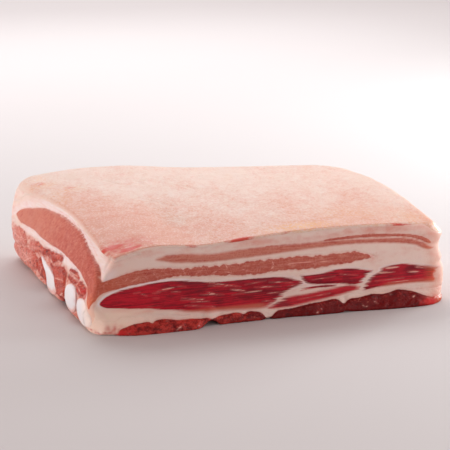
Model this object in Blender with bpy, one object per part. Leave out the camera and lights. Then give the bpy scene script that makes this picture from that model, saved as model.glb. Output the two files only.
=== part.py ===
"""A slab of pork belly, skin side up, as solids: fat under its rind, and the lean that runs through it.

The slab lies on its bone side with the long cut to the front (-Y) and the rib end to the left (-X). Its
outer form is a rounded block, warped between measured edges. Every lean layer and muscle is a solid of
its own, trimmed to that form, and the fat is what is left of the form once each of them has been cut out
of it, a hair larger than it is. Sizes are in millimetres here and become metres when a mesh is made.
"""

import math
from functools import partial
from typing import NamedTuple

import bmesh
import bpy
import numpy as np
from mathutils import Matrix, Vector

MM = 0.001

# ---- driving sizes of the slab -------------------------------------------------------------------
LENGTH = 220.0  # of the plain block that is warped into the slab
DEPTH = 172.0
THICKNESS = 50.0
FRONT_Y = -84.0  # the plane of the front cut
BACK_Y = 90.0
LEFT_X = -105.0  # the two ends, half way up, where the tables below are read
RIGHT_X = 113.0
CLEARANCE = 0.3  # left all round each piece that sits in the fat
LEAST_HALF = 0.4  # of a layer's thickness where it thins out
Y_CUTS = (-130, -82, -73, -60, -40, -5, 45, 130)  # a layer's cuts from front to back, past both walls

# Cuts of the plain block: close together at its edges, to round them, and at the foot's grooves.
SLAB_X_CUTS = (-110, -107.5, -100, -84, -64, -38.5, -32.5, -26.5, -12, -3.5, 2.5, 8.5, 26, 43.5, 49.5, 55.5,
               74, 92, 102, 107.5, 110)
SLAB_Y_CUTS = (-86, -83.5, -76, -56, -28, 4, 38, 66, 80, 84, 86)
SLAB_Z_CUTS = (-25, -22.5, -17, -6, 6, 16, 21, 25)

# ---- edges of the slab: (place along the edge, value) -------------------------------------------
FRONT_TOP_Z = ((-100, 45), (-80, 47.3), (-60, 48.7), (-38, 47), (-15, 48.5), (5, 50), (60, 50.8),
               (85, 49.5), (110, 47))
BACK_TOP_Z = ((-108, 53), (-90, 55), (-50, 55.5), (0, 51.5), (50, 49), (110, 48))
LEFT_TOP_Z = ((-86, 45.5), (-60, 49), (-30, 51), (0, 51.5), (40, 51.5), (70, 52.5), (92, 53.5))
LEFT_RIM_X = -93.0  # where the left edge of the rind runs, on the whole
LEFT_BASE_X = ((-86, -101), (0, -106), (90, -110))
LEFT_TOP_X = ((-86, -90), (-40, -92.5), (0, -94), (35, -99), (65, -105.5), (92, -108))
RIGHT_BASE_X = ((-86, 113), (0, 116), (90, 112))
RIGHT_TOP_X = ((-86, 111.5), (-30, 116.5), (30, 117.5), (90, 112))
BACK_BASE_Y = ((-110, 90), (0, 88), (110, 80))
BACK_TOP_Y = ((-110, 93), (-50, 94), (0, 91), (110, 84))
FRONT_BELLY = ((-100, 1.5), (-80, 8), (-45, 7), (-30, 3.5), (-10, 2.5), (30, 3), (60, 4), (90, 6),
               (110, 4))
BELLY_HEIGHT = 9.0  # the foot of the front cut swells forward up to this height
LEFT_BULGE = 5.0
RIGHT_BULGE = 1.0
CROWN = 1.2

# ---- rounding: the crisp front edge, and what each other side adds to it ------------------------
TOP_EDGE_RADIUS = 2.2
TOP_RIGHT_EXTRA, TOP_BACK_EXTRA, TOP_LEFT_EXTRA = 7.0, 6.0, 1.5
FOOT_EDGE_RADIUS = 2.5
FOOT_LEFT_EXTRA, FOOT_BACK_EXTRA = 1.5, 1.5
FRONT_LEFT_RADIUS, FRONT_RIGHT_RADIUS, BACK_LEFT_RADIUS, BACK_RIGHT_RADIUS = 4.0, 9.0, 11.0, 26.0

# ---- seams between the under muscles, where the base is drawn up into a groove ------------------
SEAMS = ((-32.5, 2.6), (2.5, 1.4), (49.5, 1.2))  # place along the front, height of the groove
SEAM_HALF_WIDTH = 6.0
SEAM_DEPTH_Y = 24.0  # how far back a groove runs in from the front


class Layer(NamedTuple):
    """A layer of lean that runs from the front cut to the back: its outline on the front cut, in x and z."""

    name: str
    colour: tuple
    upper: tuple
    lower: tuple


class Rod(NamedTuple):
    """A muscle or cartilage that runs in from the rib end: an egg-shaped outline in y and z there."""

    name: str
    colour: tuple
    centre: tuple
    half: tuple
    tilt: float
    tail: float
    inner_x: float


PINK_LEAN = (0.62, 0.20, 0.15)
RED_LEAN = (0.33, 0.025, 0.035)
DARK_LEAN = (0.20, 0.02, 0.02)
FAT_WHITE = (0.80, 0.62, 0.52)
CARTILAGE_WHITE = (0.86, 0.84, 0.84)

# The middle layer reaches the rib end, so it has an outline there too, in y and z.
MIDDLE_UPPER = ((-130, 32.3), (-100, 32.0), (-90, 32.2), (-80, 34.2), (-62, 35.9), (-45, 34.9),
                (-20, 34.7), (8, 35.5), (50, 35.5), (60, 33.5), (66, 31.3))
MIDDLE_LOWER = ((-130, 17), (-102, 17.5), (-96, 21.5), (-85, 25.7), (-70, 28.8), (-52, 30), (-35, 28.5),
                (-7, 26.6), (8, 27.8), (25, 27.2), (45, 29), (66, 30.7))
MIDDLE_LEFT_UPPER = ((-84, 32.3), (-69, 38.5), (-44, 44.4), (-10, 46.6), (20, 45.8), (52, 41.5), (92, 34))
MIDDLE_LEFT_LOWER = ((-84, 17), (-77, 17), (-72, 24), (-56, 28.3), (-22, 29.6), (0, 28.6), (40, 29.3),
                     (92, 26))

LAYERS = (
    Layer("lean_upper", PINK_LEAN,
          ((-65, 41.6), (-58, 42.6), (-45, 42.2), (-32, 41.1), (-10, 42.5), (10, 43.3), (30, 43.2),
           (60, 45.2), (90, 43), (104, 38), (130, 36)),
          ((-65, 40.8), (-55, 38), (-40, 36.9), (-10, 37.4), (20, 39), (60, 40), (80, 39), (104, 33),
           (130, 31))),
    Layer("lean_middle", PINK_LEAN, MIDDLE_UPPER, MIDDLE_LOWER),
    Layer("red_muscle_long", RED_LEAN,
          ((-96, 19), (-90, 22.8), (-80, 25.4), (-60, 28), (-40, 25.8), (-25, 24.7), (0, 24.5),
           (14, 22.8), (22, 20.2)),
          ((-96, 18), (-90, 15.5), (-70, 13), (-50, 10.4), (-25, 8.2), (-2, 6.6), (12, 14), (22, 19.4))),
    Layer("red_muscle_mid", RED_LEAN,
          ((22.8, 23.3), (35, 24.5), (47, 25.8), (58, 24.3), (64, 21.6)),
          ((22.8, 22.7), (27, 18.5), (36, 16.8), (50, 16.4), (60, 17.8), (64, 20.9))),
    Layer("red_muscle_low", RED_LEAN,
          ((2, 7.2), (14, 11.3), (25, 12.7), (50, 14.5), (57, 14.2)),
          ((2, 6.5), (25, 7.3), (40, 9.4), (57, 12.9))),
    Layer("red_muscle_end", RED_LEAN,
          ((61, 13.2), (64, 18), (72, 23.8), (82, 25.2), (100, 23), (130, 19)),
          ((61, 12.5), (64, 12), (80, 12), (104, 11), (130, 11))),
)

# x of a layer's left end against y: some draw back behind the front cut, clear of the rib end's muscles.
LEFT_ENDS = {
    "lean_upper": ((-92, -66), (-82, -64), (-70, -50), (-55, -24), (92, -18)),
    "red_muscle_low": ((-92, 2), (-84, 2), (-74, 7), (-60, 8), (92, 1)),
    "red_muscle_long": ((-92, -96), (-82, -95), (-72, -66), (-50, -60), (92, -60)),
    "under_muscle_1": ((-92, -88), (-82, -86), (-68, -62), (-50, -58), (92, -58)),
}
RIGHT_RUN = 130.0  # a layer whose outline goes this far runs out through the right wall
BACK_DRIFT = -13.0  # how far the red muscles' seams lie further left at the back
BACK_LIFT = 1.3  # the layers' slow rise and fall from front to back

UNDER_TOP = ((-90, 1), (-85, 3), (-75, 5.2), (-60, 5.9), (-40, 4.9), (-20, 5.5), (-4, 4.6), (8, 4.6),
             (20, 5.5), (35, 7), (56, 7.5), (70, 8.7), (80, 9.9), (90, 8.5), (98, 5.2), (130, 3.4))
UNDER_SPANS = ((-88, -34), (-31, 1), (4, 48), (51, 130))
UNDER_END_DROP = 2.2  # an under muscle's top falls by this much at its two ends
UNDER_END_WIDTH = 5.0
UNDER_LEAST_TOP = 1.5
UNDER_START_Z = -6.0  # under muscles start this far below the base, and are trimmed there

RODS = (
    Rod("cartilage_1", CARTILAGE_WHITE, (2, 11.6), (18, 6.8), 27, 0.45, -72),
    Rod("cartilage_2", CARTILAGE_WHITE, (-43.5, 9), (10, 9.8), 0, 0.1, -72),
    Rod("cartilage_3", CARTILAGE_WHITE, (-68.5, 8.5), (9.6, 9), 0, 0.0, -90),
    Rod("rib_muscle_1", RED_LEAN, (12, 23.6), (30, 3.0), -5, 0.2, -76),
    Rod("rib_muscle_2", RED_LEAN, (-25, 15.5), (7, 8.2), 0, 0.0, -76),
    Rod("rib_muscle_3", RED_LEAN, (46, 9), (27, 5.2), 0, 0.1, -76),
    Rod("rib_muscle_4", RED_LEAN, (67, 18.6), (16.5, 5.2), -6, 0.1, -82),
)
ROD_SIDES = 20
ROD_OUTER_X = -126.0
ROD_TAPER = 0.6  # a rod's inner end is this much of its outer end


# ---- shape functions ----------------------------------------------------------------------------
def curve(knots, at):
    """A smooth curve through the knots: cubic pieces that take their slopes from the neighbouring knots."""
    places, values = np.asarray(knots, float).T
    slopes = np.gradient(values, places)
    at = np.clip(at, places[0], places[-1])
    i = np.clip(np.searchsorted(places, at, side="right") - 1, 0, len(places) - 2)
    width = places[i + 1] - places[i]
    t = (at - places[i]) / width
    return (
        (2 * t**3 - 3 * t**2 + 1) * values[i]
        + (t**3 - 2 * t**2 + t) * width * slopes[i]
        + (3 * t**2 - 2 * t**3) * values[i + 1]
        + (t**3 - t**2) * width * slopes[i + 1]
    )


def ramp(at, low, high):
    """0 up to low and 1 past high, with a smooth rise between."""
    t = np.clip((at - low) / (high - low), 0, 1)
    return t * t * (3 - 2 * t)


def round_off(reach, half, radius):
    """Draws what lies past the inner corner onto an arc: |reach| up to half on each axis, in columns."""
    out = np.maximum(np.abs(reach) - (half - radius), 0)
    length = np.maximum(np.linalg.norm(out, axis=-1, keepdims=True), 1e-9)
    drawn_in = out * (out.max(axis=-1, keepdims=True) / length - 1)
    return reach + np.sign(reach) * drawn_in


def round_level_edges(points, half, radius):
    """Rounds a block's top and bottom edges, by its points' depth inside the walls and their height."""
    gap = (half[:2] - np.abs(points[:, :2])).min(axis=1)
    profile = np.column_stack([half[2] - gap, points[:, 2]])
    profile = round_off(profile, half[2], radius[:, None])
    walls = half[:2] - (half[2] - profile[:, 0])[:, None]
    plan = np.clip(points[:, :2], -walls, walls)
    return np.column_stack([plan, profile[:, 1]])


def edge_radius(a, b, c):
    """The rounding of the block's level edges: crisp along the front, soft along the right and back."""
    near_right, near_back, near_left = ramp(a, 0.55, 1), ramp(b, 0.3, 1), ramp(-a, 0.7, 1)
    over = TOP_EDGE_RADIUS + TOP_LEFT_EXTRA * near_left
    over = over + TOP_RIGHT_EXTRA * near_right + TOP_BACK_EXTRA * near_back
    under = FOOT_EDGE_RADIUS + FOOT_LEFT_EXTRA * near_left + FOOT_BACK_EXTRA * near_back
    return np.where(c > 0, over, under)


def corner_radius(a, b):
    """The rounding of the upright edges, corner by corner."""
    at_right = np.where(b > 0, BACK_RIGHT_RADIUS, FRONT_RIGHT_RADIUS)
    return np.where(a > 0, at_right, np.where(b > 0, BACK_LEFT_RADIUS, FRONT_LEFT_RADIUS))


def top_height(x, y):
    """Height of the rind: front and back edges blended, bent to the left edge, and crowned between."""
    v = np.clip((y - FRONT_Y) / (BACK_Y - FRONT_Y), 0, 1)
    level = curve(FRONT_TOP_Z, x) * (1 - v) + curve(BACK_TOP_Z, x) * v
    at_left = curve(FRONT_TOP_Z, LEFT_RIM_X) * (1 - v) + curve(BACK_TOP_Z, LEFT_RIM_X) * v
    bend = (curve(LEFT_TOP_Z, y) - at_left) * (1 - ramp(x, -98, -30))
    return level + bend + CROWN * np.sin(math.pi * v) * ramp(x, -60, 0)


def base_height(x, y):
    """Height of the underside: flat, but for the grooves between the under muscles at the front."""
    fade = 1 - ramp(y, FRONT_Y, FRONT_Y + SEAM_DEPTH_Y)
    return sum(height * (1 - ramp(abs(x - at), 0, SEAM_HALF_WIDTH)) for at, height in SEAMS) * fade


def slab_point(points):
    """Points of the plain block, carried onto the slab's walls, rind and underside."""
    half = np.array([LENGTH / 2, DEPTH / 2, THICKNESS / 2])
    a, b, c = (points / half).T
    points = round_level_edges(points, half, edge_radius(a, b, c))
    plan = round_off(points[:, :2], half[:2], corner_radius(a, b)[:, None])
    u, v = ((plan / half[:2] + 1) / 2).T
    h = points[:, 2] / THICKNESS + 0.5
    x = LEFT_X + (RIGHT_X - LEFT_X) * u
    front = FRONT_Y - curve(FRONT_BELLY, x) * np.clip(1 - h * THICKNESS / BELLY_HEIGHT, 0, 1)
    back = curve(BACK_BASE_Y, x) * (1 - h) + curve(BACK_TOP_Y, x) * h
    y = front + (back - front) * v
    bow = np.sin(math.pi * np.clip(h, 0, 1))
    left = curve(LEFT_BASE_X, y) * (1 - h) + curve(LEFT_TOP_X, y) * h - LEFT_BULGE * bow
    right = curve(RIGHT_BASE_X, y) * (1 - h) + curve(RIGHT_TOP_X, y) * h + RIGHT_BULGE * bow
    x = left + (right - left) * u
    base = base_height(x, y)
    return np.column_stack([x, y, base + h * (top_height(x, y) - base)])


def wander(x, y):
    """The layers' slow rise and fall behind the front cut, which fades out at the rib end."""
    v = (y - FRONT_Y) / DEPTH
    return BACK_LIFT * np.sin(1.5 * math.pi * np.clip(v, 0, 1.1)) * ramp(x, -90, -30)


def layer_heights(layer, along, x, y):
    """(upper, lower) heights of a layer at a place along its outline, found at x and y."""
    upper, lower = curve(layer.upper, along), curve(layer.lower, along)
    if layer.name == "lean_middle":
        fade = 1 - ramp(x, -98, -25)
        upper = upper + (curve(MIDDLE_LEFT_UPPER, y) - MIDDLE_LEFT_UPPER[0][1]) * fade
        lower = lower + (curve(MIDDLE_LEFT_LOWER, y) - MIDDLE_LEFT_LOWER[0][1]) * fade
    lift = wander(x, y)
    return upper + lift, lower + lift


def layer_ends(name, first, last, y):
    """x of a layer's two ends at depth y: both drift towards the back, and some left ends draw back."""
    v = np.clip((y - FRONT_Y) / DEPTH, 0, 1)
    drift = BACK_DRIFT * v if name.startswith(("red", "under")) else 0 * v
    left = curve(LEFT_ENDS[name], y) if name in LEFT_ENDS else first + drift
    right = last + (0 if last >= RIGHT_RUN else drift)
    return left, right


# ---- mesh making --------------------------------------------------------------------------------
def lattice_block(x_cuts, y_cuts, z_cuts):
    """A cube primitive stretched over the cuts' range and sliced at each cut, as a bmesh."""
    mesh = bmesh.new()
    bmesh.ops.create_cube(mesh, size=1)
    cuts = [np.asarray(c, float) for c in (x_cuts, y_cuts, z_cuts)]
    low, high = (Vector([end(c) for c in cuts]) for end in (min, max))
    stretch = Matrix.Translation((low + high) / 2) @ Matrix.Diagonal((*(high - low), 1))
    bmesh.ops.transform(mesh, matrix=stretch, verts=mesh.verts)
    for axis, places in enumerate(cuts):
        normal = Vector([float(i == axis) for i in range(3)])
        for place in sorted(places)[1:-1]:
            everything = mesh.verts[:] + mesh.edges[:] + mesh.faces[:]
            bmesh.ops.bisect_plane(mesh, geom=everything, plane_co=normal * place, plane_no=normal)
    bmesh.ops.triangulate(mesh, faces=mesh.faces, quad_method="FIXED")
    return mesh


def reshape(mesh, rule):
    """Moves every vertex of a bmesh by a rule on an array of points."""
    moved = rule(np.array([vert.co for vert in mesh.verts], float))
    for vert, point in zip(mesh.verts, moved):
        vert.co = point
    mesh.normal_update()


def add_object(name, mesh, collection, colour=None):
    """Turns a bmesh in millimetres into an object in metres, in a collection, with a plain material."""
    bmesh.ops.recalc_face_normals(mesh, faces=mesh.faces)
    bmesh.ops.scale(mesh, vec=(MM, MM, MM), verts=mesh.verts)
    data = bpy.data.meshes.new(name)
    mesh.to_mesh(data)
    mesh.free()
    obj = bpy.data.objects.new(name, data)
    collection.objects.link(obj)
    if colour is not None:
        data.materials.append(meat_material(name, colour))
    return obj


def meat_material(name, colour):
    """A moist Principled material of one colour."""
    material = bpy.data.materials.new(name)
    material.use_nodes = True
    shader = material.node_tree.nodes["Principled BSDF"]
    shader.inputs["Base Color"].default_value = (*colour, 1)
    shader.inputs["Roughness"].default_value = 0.4
    shader.inputs["Metallic"].default_value = 0
    return material


def slab_mesh():
    """The whole slab's outer form."""
    mesh = lattice_block(SLAB_X_CUTS, SLAB_Y_CUTS, SLAB_Z_CUTS)
    reshape(mesh, slab_point)
    return mesh


def layer_mesh(layer, grow):
    """A layer of lean as a block from its left end to its right, past the front and back, grown by grow."""
    first, last = layer.upper[0][0], layer.upper[-1][0]
    shares = [(x - first) / (last - first) for x, _ in layer.upper]
    mesh = lattice_block(shares, Y_CUTS, (-1, 1))

    def rule(points):
        share, y, side = points.T
        left, right = layer_ends(layer.name, first, last, y)
        x = (left - grow) + (right - left + 2 * grow) * share
        upper, lower = layer_heights(layer, first + (last - first) * share, x, y)
        middle, half = (upper + lower) / 2, np.maximum((upper - lower) / 2, LEAST_HALF)
        return np.column_stack([x, y, middle + side * (half + grow)])

    reshape(mesh, rule)
    return mesh


def under_mesh(number, span, grow):
    """One of the muscles along the foot of the slab, from below the base up to its own rounded top."""
    name = f"under_muscle_{number}"
    mesh = lattice_block((0, 0.12, 0.5, 0.88, 1), Y_CUTS, (0, 1))

    def rule(points):
        share, y, side = points.T
        left, right = layer_ends(name, *span, y)
        x = (left - grow) + (right - left + 2 * grow) * share
        from_end = np.minimum(share, 1 - share if span[1] < RIGHT_RUN else 1) * (right - left)
        along = span[0] + (span[1] - span[0]) * share
        drop = UNDER_END_DROP * (1 - ramp(from_end, 0, UNDER_END_WIDTH))
        top = np.maximum(curve(UNDER_TOP, along) - drop + wander(x, y), UNDER_LEAST_TOP)
        return np.column_stack([x, y, np.where(side > 0.5, top + grow, UNDER_START_Z)])

    reshape(mesh, rule)
    return mesh


def rod_mesh(rod, grow):
    """A rod that runs in along X from outside the rib end, an egg in section, and tapers to its inner end."""
    mesh = bmesh.new()
    bmesh.ops.create_cone(mesh, cap_ends=True, segments=ROD_SIDES, radius1=1, radius2=1, depth=1)

    def rule(points):
        angle = np.arctan2(points[:, 1], points[:, 0])
        inner = points[:, 2] > 0
        size = np.where(inner, ROD_TAPER, 1)
        across = np.cos(angle) * rod.half[0] * size + grow * np.cos(angle)
        up = np.sin(angle) * rod.half[1] * size * (1 - rod.tail * np.cos(angle)) + grow * np.sin(angle)
        turn = math.radians(rod.tilt)
        y = rod.centre[0] + across * math.cos(turn) - up * math.sin(turn)
        z = rod.centre[1] + across * math.sin(turn) + up * math.cos(turn)
        return np.column_stack([np.where(inner, rod.inner_x + grow, ROD_OUTER_X), y, z])

    reshape(mesh, rule)
    return mesh


def add_boolean(obj, other, operation):
    """Trims or cuts an object with another."""
    modifier = obj.modifiers.new(f"{operation.lower()} {other.name}", "BOOLEAN")
    modifier.object = other
    modifier.operation = operation
    modifier.solver = "EXACT"


def as_guide(obj):
    """Marks a cutter or a guide, which isn't part of the slab."""
    obj.hide_render = True
    obj.display_type = "WIRE"
    return obj


def centre_on_base(objects, slab):
    """Moves everything so that the slab's box is centred over the origin and its underside is at z = 0."""
    points = np.array([vert.co for vert in slab.data.vertices])
    low, high = points.min(axis=0), points.max(axis=0)
    shift = Matrix.Translation((-(low[0] + high[0]) / 2, -(low[1] + high[1]) / 2, -low[2]))
    for obj in objects:
        obj.data.transform(shift)


def main():
    for obj in list(bpy.data.objects):
        bpy.data.objects.remove(obj)
    parts = bpy.data.collections.new("pork_belly_slab")
    guides = bpy.data.collections.new("cutters")
    for collection in (parts, guides):
        bpy.context.scene.collection.children.link(collection)

    makers = [(layer.name, layer.colour, partial(layer_mesh, layer)) for layer in LAYERS]
    for number, span in enumerate(UNDER_SPANS, 1):
        makers.append((f"under_muscle_{number}", DARK_LEAN, partial(under_mesh, number, span)))
    makers += [(rod.name, rod.colour, partial(rod_mesh, rod)) for rod in RODS]

    form = as_guide(add_object("slab_form", slab_mesh(), guides))
    fat = add_object("fat_and_rind", slab_mesh(), parts, FAT_WHITE)
    for name, colour, make in makers:
        piece = add_object(name, make(0), parts, colour)
        add_boolean(piece, form, "INTERSECT")
        cutter = as_guide(add_object(f"pocket_{name}", make(CLEARANCE), guides))
        add_boolean(fat, cutter, "DIFFERENCE")
    centre_on_base([*parts.objects, *guides.objects], form)


main()
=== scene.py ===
"""Dresses the slab of pork belly: flesh in layers under its rind, gristle at the rib end, and a plain studio.

The slab's surface is worked out as rings that run round it, from the middle of its underside, over its foot,
up its walls and in under the rind. Which tissue shows at a place is worked out from distances to the outlines
of the layers of lean, which run through the slab as the solids of the frame do. Those distances are stored
with the mesh, and the finishes draw the edges, fibres and marbling from them.
Sizes are in millimetres until a mesh is made.
"""

from __future__ import annotations

import functools
import logging
import math
from dataclasses import dataclass, field
from enum import Enum, IntEnum
from itertools import product
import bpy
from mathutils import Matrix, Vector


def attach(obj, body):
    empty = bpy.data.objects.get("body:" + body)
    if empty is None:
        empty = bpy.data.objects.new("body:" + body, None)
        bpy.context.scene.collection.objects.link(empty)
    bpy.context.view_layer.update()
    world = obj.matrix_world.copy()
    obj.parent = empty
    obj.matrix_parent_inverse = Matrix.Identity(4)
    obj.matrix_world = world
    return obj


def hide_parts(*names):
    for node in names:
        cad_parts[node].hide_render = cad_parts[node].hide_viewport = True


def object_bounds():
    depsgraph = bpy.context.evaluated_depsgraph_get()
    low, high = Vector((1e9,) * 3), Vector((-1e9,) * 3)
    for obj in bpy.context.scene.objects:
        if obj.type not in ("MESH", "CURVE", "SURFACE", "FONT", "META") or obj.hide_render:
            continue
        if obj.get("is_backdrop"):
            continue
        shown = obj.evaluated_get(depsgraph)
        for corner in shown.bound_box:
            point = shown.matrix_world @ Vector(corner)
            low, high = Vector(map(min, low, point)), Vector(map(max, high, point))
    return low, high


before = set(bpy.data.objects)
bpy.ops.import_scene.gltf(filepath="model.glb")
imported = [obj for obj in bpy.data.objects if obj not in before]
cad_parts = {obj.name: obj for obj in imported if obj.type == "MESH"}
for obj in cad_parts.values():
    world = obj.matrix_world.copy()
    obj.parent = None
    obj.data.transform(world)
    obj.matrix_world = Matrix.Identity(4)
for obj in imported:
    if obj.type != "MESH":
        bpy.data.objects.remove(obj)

from types import SimpleNamespace
from typing import Iterable, Sequence

import bpy
import numpy as np
from mathutils import Vector

MM = 0.001
BODY = "root"
OUTSIDE = -9.0  # a distance well outside a tissue
HASH = (73856093, 19349663, 83492791, 2654435, 1274126177, 461845907)  # factors that mix a cell's number
BITS = 0x7FFFFFFF
LOG = logging.getLogger("pork_belly_slab")

Knots = Sequence[tuple[float, float]]
Array = np.ndarray
Colour = tuple[float, float, float]
Floats = Sequence[float]


# --- Shape helpers
def knots(*numbers: float) -> Knots:
    """Knots or corners from a row of numbers: each place and its value in turn."""
    return tuple(zip(numbers[::2], numbers[1::2]))


def curve(pairs: Knots, at: Array) -> Array:
    """A smooth curve through knots: cubic pieces whose slopes follow the neighbouring knots, flat outside.

    Args:
        pairs: (place, value) pairs in rising order of place.
        at: places to read.

    Returns:
        The curve's value at each place.
    """
    places, values = np.asarray(pairs, float).T
    slopes = np.gradient(values, places)
    at = np.clip(at, places[0], places[-1])
    i = np.clip(np.searchsorted(places, at, side="right") - 1, 0, len(places) - 2)
    width = places[i + 1] - places[i]
    t = (at - places[i]) / width
    return (
        (2 * t**3 - 3 * t**2 + 1) * values[i]
        + (t**3 - 2 * t**2 + t) * width * slopes[i]
        + (3 * t**2 - 2 * t**3) * values[i + 1]
        + (t**3 - t**2) * width * slopes[i + 1]
    )


def ramp(at: Array, low: float, high: float) -> Array:
    """0 up to low and 1 past high, with a smooth rise between (or a fall, where high is the lower)."""
    t = np.clip((at - low) / (high - low), 0, 1)
    return t * t * (3 - 2 * t)


def value_noise(points: Array, seed: int) -> Array:
    """Smooth noise from random values on a unit lattice, blended between the eight corners of each cell.

    Args:
        points: places, (..., 3), in lattice cells.
        seed: picks the random values.

    Returns:
        Values from -1 to 1, one for each place.
    """
    cell = np.floor(points).astype(np.int64)
    share = points - cell
    share = share * share * (3 - 2 * share)
    total = np.zeros(points.shape[:-1])
    for corner in product((0, 1), repeat=3):
        at = cell + corner
        mixed = (at[..., 0] * HASH[0]) ^ (at[..., 1] * HASH[1]) ^ (at[..., 2] * HASH[2]) ^ (seed * HASH[3])
        mixed = (mixed ^ (mixed >> 13)) * HASH[4] & BITS
        mixed = (mixed ^ (mixed >> 15)) * HASH[5] & BITS
        weight = np.prod(np.where(corner, share, 1 - share), axis=-1)
        total += weight * (mixed / BITS * 2 - 1)
    return total


def rough_noise(points: Array, size: float | Floats, seed: int, octaves: int = 3) -> Array:
    """Value noise summed over octaves, each half the size and half the strength of the last.

    Args:
        points: places in millimetres, (..., 3).
        size: size of the coarsest cells, one for all axes or one for each.
        seed: picks the random values.
        octaves: how many sizes are summed.

    Returns:
        Values from about -1 to 1.
    """
    total, strength, sum_of = 0.0, 1.0, 0.0
    cells = np.asarray(points) / np.asarray(size, float)
    for octave in range(octaves):
        total = total + strength * value_noise(cells * 2.0**octave + 17.3 * octave, seed + octave)
        sum_of += strength
        strength *= 0.5
    return total / sum_of


def softened(outline: Knots, rounds: int = 2) -> Array:
    """Cuts the corners of a closed outline, a quarter of each side at a time, which rounds it.

    Args:
        outline: the corners in order.
        rounds: how many times the corners are cut.

    Returns:
        The rounded outline's corners, (n, 2).
    """
    points = np.asarray(outline, float)
    for _ in range(rounds):
        after = np.roll(points, -1, axis=0)
        points = np.stack([0.75 * points + 0.25 * after, 0.25 * points + 0.75 * after], axis=1).reshape(-1, 2)
    return points


def depth_inside(outline: Array, across: Array, up: Array) -> Array:
    """Distance to a closed outline, positive inside it and negative outside.

    The distance is the least over the outline's sides; inside is where a level ray crosses an odd number of
    them. The loop is over sides, not places.

    Args:
        outline: corners, (n, 2).
        across: first coordinate of each place.
        up: second coordinate of each place.

    Returns:
        The signed distance of each place.
    """
    nearest = np.full(across.shape, np.inf)
    inside = np.zeros(across.shape, bool)
    for (ax, ay), (bx, by) in zip(outline, np.roll(outline, -1, axis=0)):
        dx, dy = bx - ax, by - ay
        share = np.clip(((across - ax) * dx + (up - ay) * dy) / max(dx * dx + dy * dy, 1e-9), 0, 1)
        nearest = np.minimum(nearest, np.hypot(across - ax - share * dx, up - ay - share * dy))
        crosses = (ay > up) != (by > up)
        inside ^= crosses & (across < (up - ay) * dx / (dy if dy else 1e-9) + ax)
    return np.where(inside, nearest, -nearest)


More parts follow.
